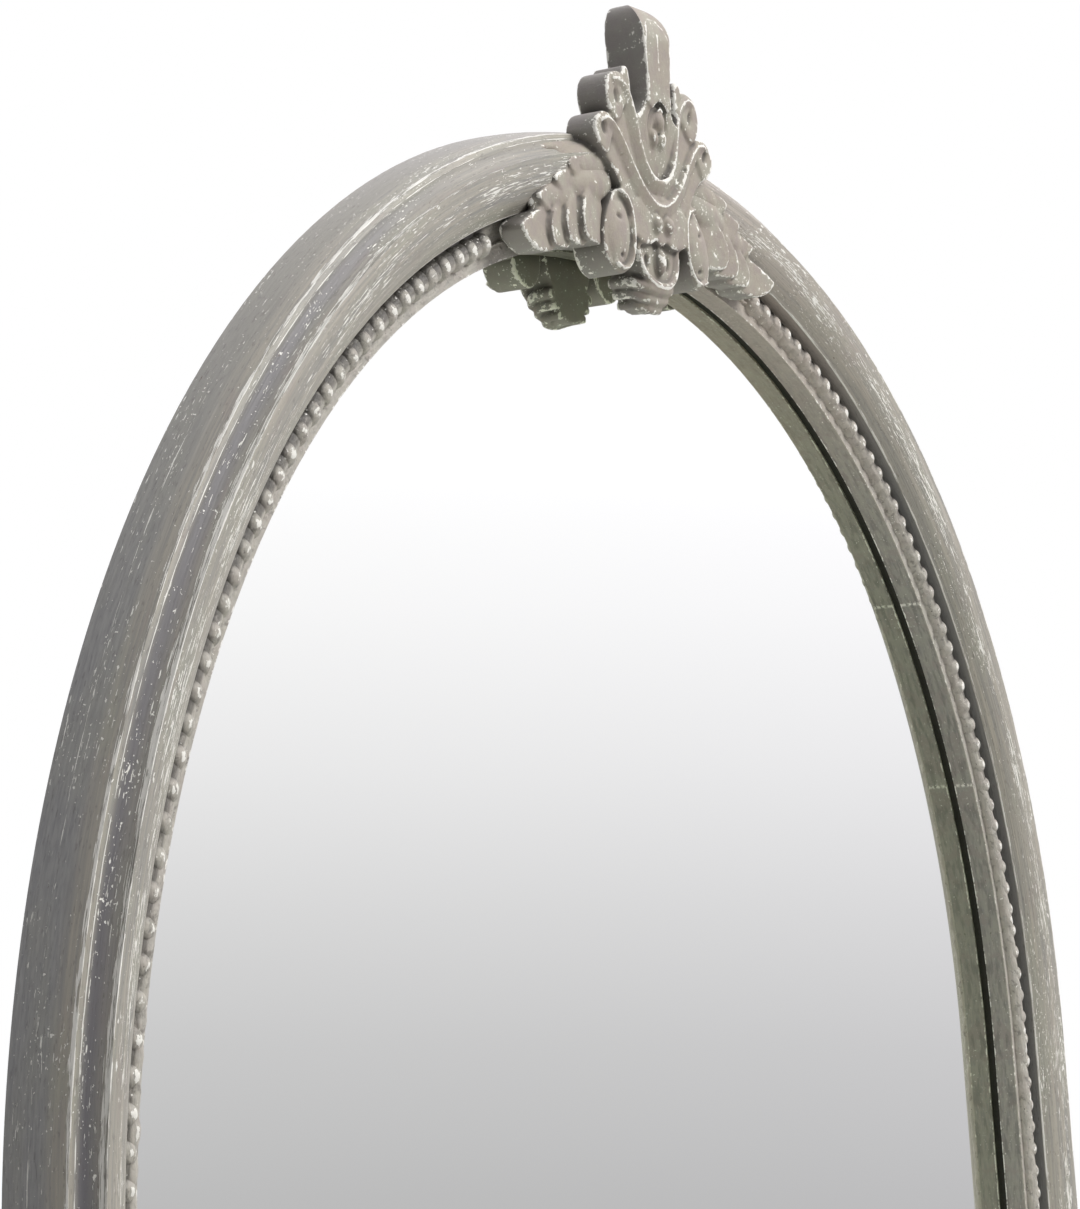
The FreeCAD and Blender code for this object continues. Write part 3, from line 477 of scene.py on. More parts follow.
def slip_paint():
    paint = FramePaint("worn_grey_beads", 0.36)
    out, proud = paint.out, paint.proud
    on_wall = 1 - proud.rise(*WALL_TOP)
    crumbs = paint.grain(3.0, 1.6, 4.0)
    clusters = paint.grain(30.0, 14.0)
    specks = paint.grain(1.6, 1.6, 2.0)
    strokes = paint.grain(10.0, 1.6, 5.0)
    tints = paint.grain(9.0, 12.0)
    coat = slip_coat(paint, on_wall, strokes, tints)
    # Between the beads and towards the step the paint is darkened, partly dirt and partly painted shade, and
    # pinholes are dark with dirt
    beaded = paint.from_middle.rise(*BEADS_START) * (1 - on_wall)
    low = (1 - proud.rise(*BEAD_FEET)) * out.rise(*BESIDE_BEADS) * crumbs.rise(0.15, 0.5)
    pinholes = 1 - (specks + clusters * 0.3).rise(0.40, 0.43)
    coat = paint.mix((low * beaded).most(pinholes * 0.85), coat, DUST_AND_SHADE)
    # Painted shade: ambient occlusion darkens the corners beside the beads
    corners = (1 - paint.openness(CORNER_REACH).rise(0.30, 0.88)) * beaded * out.rise(*BEAD_CORNERS)
    coat = paint.mix(corners * (0.6 + crumbs * 0.6), coat, DUST_AND_SHADE)
    # White shows on the tops of the beads, along both edges of the wall, and in specks
    front_arris = out.line(*FRONT_ARRIS) * proud.rise(*FRONT_ARRIS_PROUD)
    back_arris = out.line(*BACK_ARRIS) * (1 - proud.rise(*BACK_ARRIS_PROUD))
    edges = (proud.rise(*BEAD_TOPS) * 1.05).most(front_arris * 0.92).most(back_arris * 1.1)
    white = (edges * 0.34 + crumbs * 0.52 + clusters * 0.34).rise(0.755, 0.79)
    white = white.most((specks + clusters * 0.3).rise(0.855, 0.88))
    coat = paint.mix(white, coat, UNDERCOAT)
    for turn_up in JOINT_TURNS:
        joint = RIGHT_SIDE_START + math.radians(turn_up) * ARCH_MIDDLE_REACH
        filler = paint.along.line(joint, JOINT_HALF_WIDTH) * on_wall * crumbs.rise(0.42, 0.56)
        coat = paint.mix(filler * 0.8, coat, UNDERCOAT)
    paint.feed("Base Color", coat)
    paint.feed("Roughness", 0.6 - strokes * 0.2)
    paint.bump(crumbs * 0.5 + strokes * 0.3 + tints * 0.9, 0.0016, 0.8)
    return paint


SLIP_NODES = [name for name in nodes if "slip" in name]
bead_paint = slip_paint()
bead_paint.onto(*[nodes[name] for name in SLIP_NODES])
print("painted slips:", len(SLIP_NODES))

# %% [markdown]
# ## Mesh helpers
# New pieces start as primitives. These helpers select a piece, read or set its vertices all at once,
# which is much quicker than one by one, and do the two edit-mode steps that several pieces share.


# %% Select, read, set and edit
def select_only(*objects):
    bpy.ops.object.select_all(action="DESELECT")
    for obj in objects:
        obj.select_set(True)
    bpy.context.view_layer.objects.active = objects[0]


def vertex_array(obj):
    places = np.empty(len(obj.data.vertices) * 3)
    obj.data.vertices.foreach_get("co", places)
    return places.reshape(-1, 3)


def set_vertices(obj, places):
    obj.data.vertices.foreach_set("co", places.ravel())
    obj.data.update()


def edit_all(operator, **settings):
    """Run an edit-mode operator on everything in the active piece."""
    bpy.ops.object.mode_set(mode="EDIT")
    bpy.ops.mesh.select_all(action="SELECT")
    operator(**settings)
    bpy.ops.object.mode_set(mode="OBJECT")


def extrude_back(depth):
    """Extrude the active piece backwards, by a depth in millimetres."""
    edit_all(bpy.ops.mesh.extrude_region_move, TRANSFORM_OT_translate={"value": (0, depth * MM, 0)})


def turn_outwards():
    edit_all(bpy.ops.mesh.normals_make_consistent, inside=False)


print("mesh helpers ready")

# %% [markdown]
# ## Thick paint beside the beads
# Many coats of paint have filled the corner between the beads and the edge by the glass, so the beads
# stand clear only on the side of the moulding. The filling runs up each side and round the arch, and
# ends before the crest. A curve with a bevel would keep one section all the way. This one dips between
# the beads and thins towards the crest, so it is a grid whose rows are wrapped half round a path.

# %% The filling
# Millimetres out from the sight edge, proud of the slip, and half across
FILL_OUT, FILL_PROUD, FILL_RADIUS = 7.3, 0.5, 4.1
FILL_THICKNESS = 1.2
FILL_FOOT = SIGHT_FLOOR / MM - 2.0
FILL_STEP = 3.0
FILL_THINNING = 3.6
# Degrees up from the spring: each step, the end, and where the thinning starts and over how far it goes
FILL_STEP_TURN = 0.4
FILL_END_TURN = 74.5
THIN_FROM_TURN, THIN_OVER_TURN = 16, 26
RING_SIDES = 12
BEAD_OUT, BEAD_PITCH = 9.3, 12.05
DIP, DIP_SLANT = 0.34, 0.9
LUMP_SPACING, LUMP_SIZE, LUMP_SEED = 9.0, 0.3, 5


def fill_path():
    """The right half of the path, from the foot up: across, height, and the way outwards at each place."""
    reach = SIGHT_HALF_WIDTH / MM + FILL_OUT
    spring = SPRING_LEVEL / MM
    side = [(reach, height, 1.0, 0.0) for height in np.arange(FILL_FOOT, spring, FILL_STEP)]
    turns = np.radians(np.arange(0, FILL_END_TURN, FILL_STEP_TURN))
    across, up = np.cos(turns), np.sin(turns)
    arch = np.stack([reach * across, spring + reach * up, across, up], 1)
    return np.vstack([side, arch])


def fill_places(path, hand):
    """Where the grid's vertices go, row by row along the path. The left hand is -1."""
    sight = SIGHT_HALF_WIDTH / MM
    steps = np.hypot(*np.gradient(path[:, :2], axis=0).T)
    run = np.cumsum(steps) * (sight + BEAD_OUT) / (sight + FILL_OUT)
    turn_up = np.degrees(np.arctan2(path[:, 3], path[:, 2]))
    thinning = np.clip((turn_up - THIN_FROM_TURN) / THIN_OVER_TURN, 0, 1) * FILL_THINNING
    chance = np.random.default_rng(LUMP_SEED)
    lump_sizes = chance.normal(0, LUMP_SIZE, int(run[-1] / LUMP_SPACING) + 2)
    lumps = np.interp(run, np.arange(0, run[-1] + LUMP_SPACING, LUMP_SPACING), lump_sizes)
    places = np.empty((len(path), RING_SIDES + 1, 3))
    for column, bearing in enumerate(np.linspace(0, math.pi, RING_SIDES + 1)):
        wave = np.cos(2 * math.pi * run / BEAD_PITCH + bearing * DIP_SLANT)
        radius = FILL_RADIUS - thinning + DIP * wave + lumps * math.sin(bearing)
        out_by = radius * -math.cos(bearing)
        proud = FILL_PROUD + radius * math.sin(bearing)
        places[:, column, 0] = hand * (path[:, 0] + out_by * path[:, 2]) * MM
        places[:, column, 1] = SLIP_FACE - proud * MM
        places[:, column, 2] = (path[:, 1] + out_by * path[:, 3]) * MM
    return places.reshape(-1, 3)


def fill_strip(name, hand):
    """One side of the filling: the wrapped grid, extruded backwards into a closed shell."""
    path = fill_path()
    bpy.ops.mesh.primitive_grid_add(x_subdivisions=RING_SIDES, y_subdivisions=len(path) - 1)
    strip = bpy.context.object
    strip.name = name
    set_vertices(strip, fill_places(path, hand))
    select_only(strip)
    extrude_back(FILL_THICKNESS)
    turn_outwards()
    bpy.ops.object.shade_smooth()
    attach(strip, "mirror")
    bead_paint.onto(strip)
    return strip


fillings = [fill_strip("paint_fill_right", 1), fill_strip("paint_fill_left", -1)]
print("filling faces:", [len(strip.data.polygons) for strip in fillings])

# %% [markdown]
# ## Carving tools
# The crest is a block with leaves cut into its face. Each leaf, rim and bud is modelled by itself,
# from a circle whose edge is pulled to the leaf's outline and then extruded, a path with thickness,
# or a squashed ball. Joined and remeshed, they melt into one carved surface, as paint-filled wood is.

# %% Plates, rims and buds
# Between the rows of a banked rim, as a share of their thickness
ROW_SPACING = 1.1


def smooth_loop(corners, steps=5):
    """Points of a smooth closed curve through the given corners."""
    corners = np.array(corners, float)
    before, after, next_after = (np.roll(corners, shift, axis=0) for shift in (1, -1, -2))
    share = (np.arange(steps) / steps)[None, :, None]
    start, stop = corners[:, None], after[:, None]
    leave, arrive = (stop - before[:, None]) / 2, (next_after[:, None] - start) / 2
    square, cube = share ** 2, share ** 3
    curve = ((2 * cube - 3 * square + 1) * start + (cube - 2 * square + share) * leave
             + (3 * square - 2 * cube) * stop + (cube - square) * arrive)
    return curve.reshape(-1, 2)


def mirrored(right_half):
    """A whole outline, from a right half that starts and ends on the middle line."""
    return right_half + [(-x, height) for x, height in reversed(right_half[1:-1])]


def plate(outline, proud, back, lean=(0.0, 0.0)):
    """A leaf: a circle pulled to an outline and extruded backwards. Its face may lean across and upwards."""
    edge = smooth_loop(outline)
    bpy.ops.mesh.primitive_circle_add(vertices=len(edge), fill_type="NGON")
    leaf = bpy.context.object
    for vertex, (x, height) in zip(leaf.data.vertices, edge):
        tilt = lean[0] * (x - edge[0][0]) + lean[1] * (height - edge[0][1])
        vertex.co = on_crest(x, height, proud + tilt)
    extrude_back(proud - back)
    return leaf


def rim(path, proud, thickness):
    """A smooth path with a round section. A point of it may give its own depth as a third number."""
    bpy.ops.curve.primitive_nurbs_path_add()
    line = bpy.context.object
    spline = line.data.splines[0]
    spline.points.add(len(path) - len(spline.points))
    for point, spot in zip(spline.points, path):
        point.co = (*on_crest(*(*spot, proud)[:3]), 1.0)
    spline.order_u = 3
    spline.use_endpoint_u = True
    line.data.resolution_u = 5
    line.data.bevel_depth = thickness * MM
    line.data.bevel_resolution = 2
    line.data.use_fill_caps = True
    line.location = (0, 0, 0)
    select_only(line)
    bpy.ops.object.convert(target="MESH")
    return bpy.context.object


def banked_rim(path, proud, thickness, fall, rows=4):
    """A rim with a steep side and a long slope: rows of it, each set to the right and lower."""
    spots = np.array(path, float)
    ahead = np.gradient(spots, axis=0)
    sideways = np.stack([ahead[:, 1], -ahead[:, 0]], 1) / np.hypot(*ahead.T)[:, None]
    shift = sideways * thickness * ROW_SPACING
    return [rim([tuple(spot) for spot in spots + shift * row], proud - row * fall, thickness)
            for row in range(rows)]


def bud(x, height, proud, reach, lean=0.0):
    """A squashed ball: half its size across, in depth and upwards, in millimetres, leaned over in degrees."""
    bpy.ops.mesh.primitive_uv_sphere_add(segments=20, ring_count=12, radius=MM)
    ball = bpy.context.object
    ball.scale = reach
    ball.rotation_euler = (0, math.radians(lean), 0)
    ball.location = on_crest(x, height, proud)
    bpy.ops.object.transform_apply()
    return ball


print("carving tools ready")

# %% [markdown]
# Sculpting would blend the pieces too, but it needs a hand on the brush. A voxel remesh does it by
# rule: it wraps one skin round everything that overlaps. Hollows are remeshed in the same way before
# they are cut out, because a Boolean needs clean closed shapes.

# %% Join, cut and melt
VOXEL = 0.0007


def finish_with(obj, *modifiers):
    """Add modifiers with their settings, and apply each."""
    select_only(obj)
    for kind, settings in modifiers:
        modifier = obj.modifiers.new(kind.lower(), kind)
        for key, value in settings.items():
            setattr(modifier, key, value)
        bpy.ops.object.modifier_apply(modifier=modifier.name)


def join_up(name, pieces):
    select_only(*pieces)
    bpy.ops.object.join()
    block = bpy.context.object
    block.name = name
    bpy.ops.object.transform_apply()
    return block


def melt(name, pieces, hollows, both_sides):
    """Join pieces into one carving, copied to the left if it has both sides, and cut hollows in it."""
    remesh = ("REMESH", {"mode": "VOXEL", "voxel_size": VOXEL})
    mirror = ("MIRROR", {"use_mirror_merge": False})
    block = join_up(name, pieces)
    tool = join_up("cutters", hollows)
    for obj in (block, tool):
        finish_with(obj, *([mirror] if both_sides else []), remesh)
    finish_with(block, ("BOOLEAN", {"operation": "DIFFERENCE", "object": tool, "solver": "EXACT"}), remesh,
                ("SMOOTH", {"factor": 0.5, "iterations": 3}))
    bpy.data.objects.remove(tool)
    select_only(block)
    bpy.ops.object.shade_smooth()
    print(name, "faces:", len(block.data.polygons))
    return block


print("voxels of", VOXEL / MM, "mm")

# %% [markdown]
# ## Crest
# The crest is a palmette: a tall plume, two pairs of curled fronds nested in a U about a small bud,
# a pair of hanging petals, and a stepped tail that drops in front of the glass. All heights are
# above the spring point, where the top of the sight edge is 400.

# %% Lines of the palmette
# How proud the backs of the pieces lie: above the frame, and in front of the glass
FREE_BACK = 5.5
HANGING_BACK = 1.5
# The edges that are rubbed white, on the right half
INNER_EDGE = [(-2, 427.2), (4, 427.8), (9.6, 430.4), (14, 435.6), (17, 442.6), (19.4, 450), (21.4, 457),
              (24.4, 463), (28.6, 467), (33.6, 468.8), (38.6, 467.6)]
OUTER_EDGE = [(-2, 416.6), (5, 417.4), (12, 420.6), (18.6, 425.6), (24.4, 431.6), (30, 438.6), (35.6, 444.8),
              (41.4, 449), (47.2, 450), (51.4, 447.4)]
PETAL_EDGE = [(36, 420), (30.6, 418.4), (27, 413.4), (25.8, 406), (26, 398), (28.4, 391.2), (33, 387),
              (38.6, 385.8), (44, 388)]
PLUME_EDGE = [(0, 499.6), (4, 498.8), (8, 496), (10.8, 490.6), (11.5, 482), (10.8, 474), (10.6, 466),
              (12, 461), (15.4, 457)]
TIP_EDGE = [(21.6, 458), (21.4, 466), (22.6, 473.6), (25.6, 474.4), (28.4, 471.2)]
PLUME_MIDDLE = [(0.2, 492), (0, 484), (0, 476)]
OVAL_EDGE = [(0, 381), (6, 381.6), (13, 384.6), (18, 390.6), (19, 398)]
WORN_EDGES = (INNER_EDGE, OUTER_EDGE, PETAL_EDGE, PLUME_EDGE, PLUME_MIDDLE, TIP_EDGE, OVAL_EDGE)
print("rubbed edges:", len(WORN_EDGES))

# %% [markdown]
# The plume stands in a bowl between the fronds. Each of these is a plate with its own outline, and
# the fronds also get a banked rim, steep on one side, which is how a gouge leaves the edge.

# %% Plume, bowl and fronds
fronds = [
    # Plume: an upright head, and a foot that slopes back and spreads into the bowl
    plate(mirrored([(0, 507), (7, 505.8), (11, 502), (12.6, 495), (12.4, 485), (11.4, 476), (11, 466),
                    (10, 460), (0, 458)]), 25.2, FREE_BACK, (0.0, 0.03)),
    plate(mirrored([(0, 472), (9, 472), (11, 467), (11.8, 462), (14.5, 457.6), (19.5, 454), (20.4, 449),
                    (17.8, 442), (13, 434), (0, 428)]), 24.2, FREE_BACK, (0.0, 0.135)),
    # Bowl inside the fronds
    plate(mirrored([(0, 424), (13, 428), (19, 440), (21, 455), (0, 458)]), 17.6, FREE_BACK),
    # Inner frond, which ends in a tip beside the plume and a curled lobe
    plate([(-2, 427), (9, 430), (14.6, 437.5), (18.2, 447), (20.6, 457), (21.4, 466), (22.4, 474.4),
           (26, 475.2), (28.6, 471.6), (34, 471.8), (40, 469.8), (43.6, 465.4), (44.4, 459.6),
           (42, 453.6), (36, 448.5), (30.6, 442), (24.6, 434), (17, 426), (8, 420.5), (-2, 419)],
          19.2, FREE_BACK),
    plate([(28, 470.6), (34, 471.6), (40, 469.6), (43.4, 465.2), (44.2, 459.6), (41.8, 453.6), (36, 450),
           (30, 455), (26.4, 463)], 20.6, FREE_BACK),
    plate([(21.6, 457), (21.2, 466), (22.4, 474.2), (25.8, 475), (28.4, 471.4), (26.6, 462)],
          20.6, FREE_BACK),
    # Outer frond
    plate([(-2, 420), (8, 420.5), (17, 426), (24.6, 434), (30.6, 442), (35.4, 448.2), (41, 451.8),
           (47, 452.6), (52.6, 450.6), (56.2, 446.2), (56.4, 441.6), (53, 437.4), (46, 433.4),
           (39, 428), (33, 421), (27, 413.5), (14, 409), (-2, 408)], 19.0, FREE_BACK),
    plate([(40, 449), (47, 452.4), (52.4, 450.4), (56, 446), (56.2, 441.6), (52.8, 437.4), (46, 435)],
          20.2, FREE_BACK),
    *banked_rim(INNER_EDGE, 20.8, 1.25, 0.65),
    *banked_rim(OUTER_EDGE, 20.3, 1.25, 0.5),
]
print("plume and frond pieces:", len(fronds))

# %% [markdown]
# Below the fronds hang a petal on each side, a lip, an oval and the tail. The tail's ledges are rims
# that run back towards the glass at their ends, so the steps are seen from the side as well.

# %% Petals, oval and tail
hangings = [
    # Hanging petal, with its raised edge
    plate([(27, 419.5), (33.5, 421.5), (40, 418), (46.4, 410), (50.6, 400.5), (49.6, 391.5), (44, 385.6),
           (36.4, 384), (29.6, 387.6), (25.8, 395), (24.8, 404), (25, 413)], 17.6, HANGING_BACK),
    bud(38.2, 401.5, 16.0, (11.4, 4.2, 15.6), -14),
    rim(PETAL_EDGE, 19.0, 1.2),
    # Lip under the fronds, and the floor of the oval
    plate(mirrored([(0, 399.4), (5, 401.2), (11, 399.2), (19, 399.6), (26.6, 403.6), (27.5, 411),
                    (20, 418), (0, 421)]), 19.8, HANGING_BACK),
    plate(mirrored([(0, 381), (11, 383.6), (18, 390), (21, 400), (16, 412), (0, 414)]), 16.4, HANGING_BACK),
    rim([(-19, 399, 16.2), (-18, 391, 16.6), (-13, 385.4, 17.2), (-6, 382.4, 17.8), (0, 381.8, 18),
         (6, 382.4, 17.8), (13, 385.4, 17.2), (18, 391, 16.6), (19, 399, 16.2)], 17.0, 1.7),
    # Tail: round-nosed ledges, each smaller than the one above
    plate(mirrored([(0, 371.5), (7, 373), (13, 379), (16, 388), (0, 392)]), 11.0, HANGING_BACK),
    rim([(17.4, 383.6, 1), (17.4, 383.6, 7), (16.6, 383.2, 12), (11, 381, 15.6), (0, 379.6, 16.6),
         (-11, 381, 15.6)], 15.0, 2.5),
    rim([(14.4, 378.8, 1), (14.4, 378.8, 6.6), (13.6, 378.4, 10.8), (9, 376.6, 13.8), (0, 375.4, 14.6),
         (-9, 376.6, 13.8)], 13.0, 2.3),
    rim([(10.6, 374.4, 1), (10.6, 374.4, 6), (10, 374, 9.4), (6, 372.6, 12), (0, 371.8, 12.6),
         (-6, 372.6, 12)], 12.0, 2.1),
]
print("hanging pieces:", len(hangings))

# %% [markdown]
# Last come the small round forms, and the cutters for what is drilled or gouged. A Mirror modifier
# then repeats whatever was modelled on the right.

# %% Buds, hollows and the finished block
buds = [
    # Buds: three below the plume, a pair on the lip, and the drop in the oval
    bud(0, 454, 21.0, (4.2, 3.6, 4.8)),
    bud(3.8, 446.6, 19.8, (3.6, 3.2, 4.4), 24),
    bud(5.4, 408.6, 19.8, (3.7, 3.2, 4.2)),
    bud(0, 392.6, 17.2, (3.6, 3.4, 6.0)),
    # Broad fillings that lead the moulding up to the crest
    bud(62, 436.4, -9.0, (66, 20.6, 6.4), 8.4),
    bud(56, 429, 9.6, (26, 7.4, 10), 8),
]
palmette_hollows = [
    # Drilled ends of the fronds, and the hollows beside the buds and the drop
    bud(35.4, 460.6, 22.6, (3.4, 3.4, 5.4), 16),
    bud(48.6, 444.8, 22.0, (3.2, 3.2, 4.4), 30),
    rim([(0, 461.6), (4.8, 459.6), (8.0, 454), (8.8, 447.4), (6.4, 441.6)], 22.4, 2.0),
    bud(9.6, 392.6, 18.4, (3.0, 4.2, 4.4), 10),
    bud(39.6, 408.6, 21.0, (4.2, 2.6, 2.2), -16),
    bud(37.2, 391.6, 20.4, (3.8, 2.6, 1.9), -10),
    # Strokes of the gouge down the plume and round the fronds
    rim([(-0.5, 490), (-0.3, 485), (0.2, 481)], 25.6, 0.9),
    rim([(0.3, 476), (0.0, 471), (-0.4, 466)], 25.0, 0.9),
    rim([(8, 423.4), (14, 427), (20, 433.4), (26, 441.4)], 20.0, 0.9),
    rim([(9, 413.4), (18, 417.6), (27, 425), (36, 433)], 20.2, 0.9),
]
cartouche = melt("carved_cartouche", fronds + hangings + buds, palmette_hollows, both_sides=True)

# %% [markdown]
# The plume's head is rounded over from front to back. That is a slope on what is already one
# surface, so the finished vertices above the shoulder are pushed back under a curve.

# %% Round the plume's head
# In millimetres: its foot above the spring, its height and depth, and how proud the face is below it
SHOULDER = 488.0
HEAD_RISE = 20.0
HEAD_DEPTH = 18.0
HEAD_FACE = 24.8

points = vertex_array(cartouche)
heights = (points[:, 2] - SPRING_LEVEL) / MM
share = np.clip((heights - SHOULDER) / HEAD_RISE, 0, 1)
set_back = HEAD_DEPTH * (1 - np.sqrt(1 - share ** 2)) * MM
face_limit = SLIP_FACE - HEAD_FACE * MM + set_back
points[:, 1] = np.where(heights > SHOULDER, np.maximum(points[:, 1], face_limit), points[:, 1])
set_vertices(cartouche, points)
print("head rounded over", int((heights > SHOULDER).sum()), "vertices")

# %% [markdown]
# ## Leaf sprays
# Beside the palmette lie sprays of overlapping leaves along the beaded edge, with a looser row of
# petals above them on the moulding. Each leaf is cut free of the next by a deep slot.

# %% The right spray, then its twin
LEAN = (0.17, 0.0)
spray_right = melt("carved_spray_right", [
    # Four leaves like shingles, each rising to its outer end
    plate([(44, 402), (46, 414), (56, 418.6), (65, 415), (69.6, 408), (69.8, 401), (66.4, 396.4), (56, 395.4),
           (46, 396)], 14.4, HANGING_BACK, LEAN),
    plate([(60, 402), (64, 414.6), (72, 414), (79.4, 409), (82.8, 402.6), (82.4, 397.4), (79.4, 394),
           (70, 393.4), (62, 394.4)], 13.8, HANGING_BACK, LEAN),
    plate([(74, 400), (78, 411), (86, 408.8), (92.4, 404.4), (95.6, 398.6), (95, 393.8), (92, 390.8),
           (83, 391), (76, 392)], 13.4, HANGING_BACK, LEAN),
    plate([(88, 397), (92, 407), (103, 404.4), (114, 400), (121.6, 395.2), (115, 389.8), (105, 387.4),
           (96, 388), (89, 389.6)], 13.4, HANGING_BACK, (0.12, 0.0)),
    plate([(44, 422), (60, 419), (80, 412), (100, 405), (113, 397), (100, 390), (80, 393), (60, 396),
           (44, 398)], 11.6, HANGING_BACK),
    # A second row above them that sinks into the moulding
    plate([(44, 424), (48, 432.6), (60, 433.4), (70, 431), (76.5, 427.6), (72, 423.6), (60, 421.2),
           (48, 420)], 14.6, HANGING_BACK, (0.07, 0.0)),
    plate([(60, 419), (66, 425.4), (76, 424.6), (84, 422.4), (89, 419.2), (85, 415.4), (76, 413.4),
           (64, 413)], 14.4, HANGING_BACK, (0.08, 0.0)),
    plate([(76, 411), (82, 417), (92, 415.6), (99, 413), (103.4, 410.2), (99, 406.8), (91, 405), (80, 405)],
          13.6, HANGING_BACK, (0.095, 0.0)),
    bud(56, 421, 12.6, (24, 5.0, 9.0), 10),
    bud(82, 413, 11.6, (24, 4.6, 7.6), 15),
], [
    rim([(50, 409), (58, 410), (65, 407)], 20.4, 0.9),
    rim([(72, 406), (77, 404), (80, 401)], 20.0, 0.8),
    rim([(85, 402), (90, 399.6), (93, 396.6)], 19.6, 0.8),
    rim([(99, 397), (107, 396.2), (115, 395)], 18.4, 0.8),
    rim([(54, 427), (63, 427.4), (71, 426.6)], 18.8, 0.9),
    rim([(70, 419), (78, 419), (85, 418)], 18.4, 0.9),
    rim([(86, 410.6), (93, 410.6), (99.6, 409.4)], 17.8, 0.8),
], both_sides=False)
select_only(spray_right)
bpy.ops.object.duplicate()
spray_left = bpy.context.object
spray_left.name = "carved_spray_left"
spray_left.scale = (-1, 1, 1)
bpy.ops.object.transform_apply()
turn_outwards()
print("sprays:", spray_right.name, spray_left.name)

# %% [markdown]
# ## Wear on the carving
# Rubbing takes the paint off what stands out, and what lies deep is darkened, partly as dirt and
# partly as painted shade. How sharply the surface bends at each vertex says which is which, so that is
# measured once and kept on the mesh.

# %% Measure the bends
FLAT, BEND_GAIN = 0.5, 2.2
FACING_GAIN = 2.6
# In millimetres: further than any path, and the width of a rubbed line
FAR = 99.0
RUB_WIDTH = 0.9


def normal_array(obj):
    normals = np.empty(len(obj.data.vertices) * 3)
    obj.data.vertex_normals.foreach_get("vector", normals)
    return normals.reshape(-1, 3)


def keep(obj, name, values):
    """Store a number for each vertex, which a material can read by name."""
    obj.data.attributes.new(name, "FLOAT", "POINT").data.foreach_set("value", values)


def keep_bends(obj, rounds=2):
    """Store how convex each vertex is, from 0 in a hollow to 1 on a ridge, with 0.5 for flat."""
    mesh = obj.data
    ends = np.empty(len(mesh.edges) * 2, int)
    mesh.edges.foreach_get("vertices", ends)
    first, second = ends.reshape(-1, 2).T
    count = len(mesh.vertices)
    ways = np.bincount(first, minlength=count) + np.bincount(second, minlength=count)

    def around(values):
        total = np.zeros_like(values)
        np.add.at(total, first, values[second])
        np.add.at(total, second, values[first])
        return total / ways.reshape(-1, *[1] * (values.ndim - 1))

    places = vertex_array(obj)
    centre = places
    for _ in range(rounds):
        centre = around(centre)
    bend = ((places - centre) * normal_array(obj)).sum(1) / MM
    bend = around(around(bend))
    keep(obj, "bend", np.clip(FLAT + bend * BEND_GAIN, 0, 1))
    return bend


def keep_rubbing(obj, paths, width):
    """Store a line of wear along each path, where the surface faces forwards."""
    places = vertex_array(obj)
    spots = np.stack([np.abs(places[:, 0]), places[:, 2] - SPRING_LEVEL], 1) / MM
    nearest = np.full(len(spots), FAR)
    for path in paths:
        corners = np.array(path, float)
        for start, stop in zip(corners, corners[1:]):
            step = stop - start
            share = np.clip((spots - start) @ step / (step @ step), 0, 1)
            nearest = np.minimum(nearest, np.hypot(*(spots - start - share[:, None] * step).T))
    rub = np.exp(-(nearest / width) ** 2) * np.clip(-normal_array(obj)[:, 1] * FACING_GAIN, 0, 1)
    keep(obj, "rub", rub)
    print(obj.name, "rubbed vertices:", int((rub > 0.5).sum()))


for carving in (cartouche, spray_left, spray_right):
    bends = keep_bends(carving)
    print(carving.name, "bends:", np.round(np.percentile(bends, (2, 50, 90, 98)), 3))
keep_rubbing(cartouche, WORN_EDGES, RUB_WIDTH)

# %% [markdown]
# The carving has the frame's greys, but no direction of brushing, so its noise isn't stretched. White
# shows on what bends outwards and along the kept lines. Where the surface bends inwards it is darker,
# partly dirt and partly painted shade; deep corners, found by ambient occlusion, get a painted shade,
# and the cut sides get a painted shade too, darker than the face.

# %% Carving paint
CARVED_GREY = (0.402, 0.362, 0.302)
CARVING_CORNER_REACH = 0.012


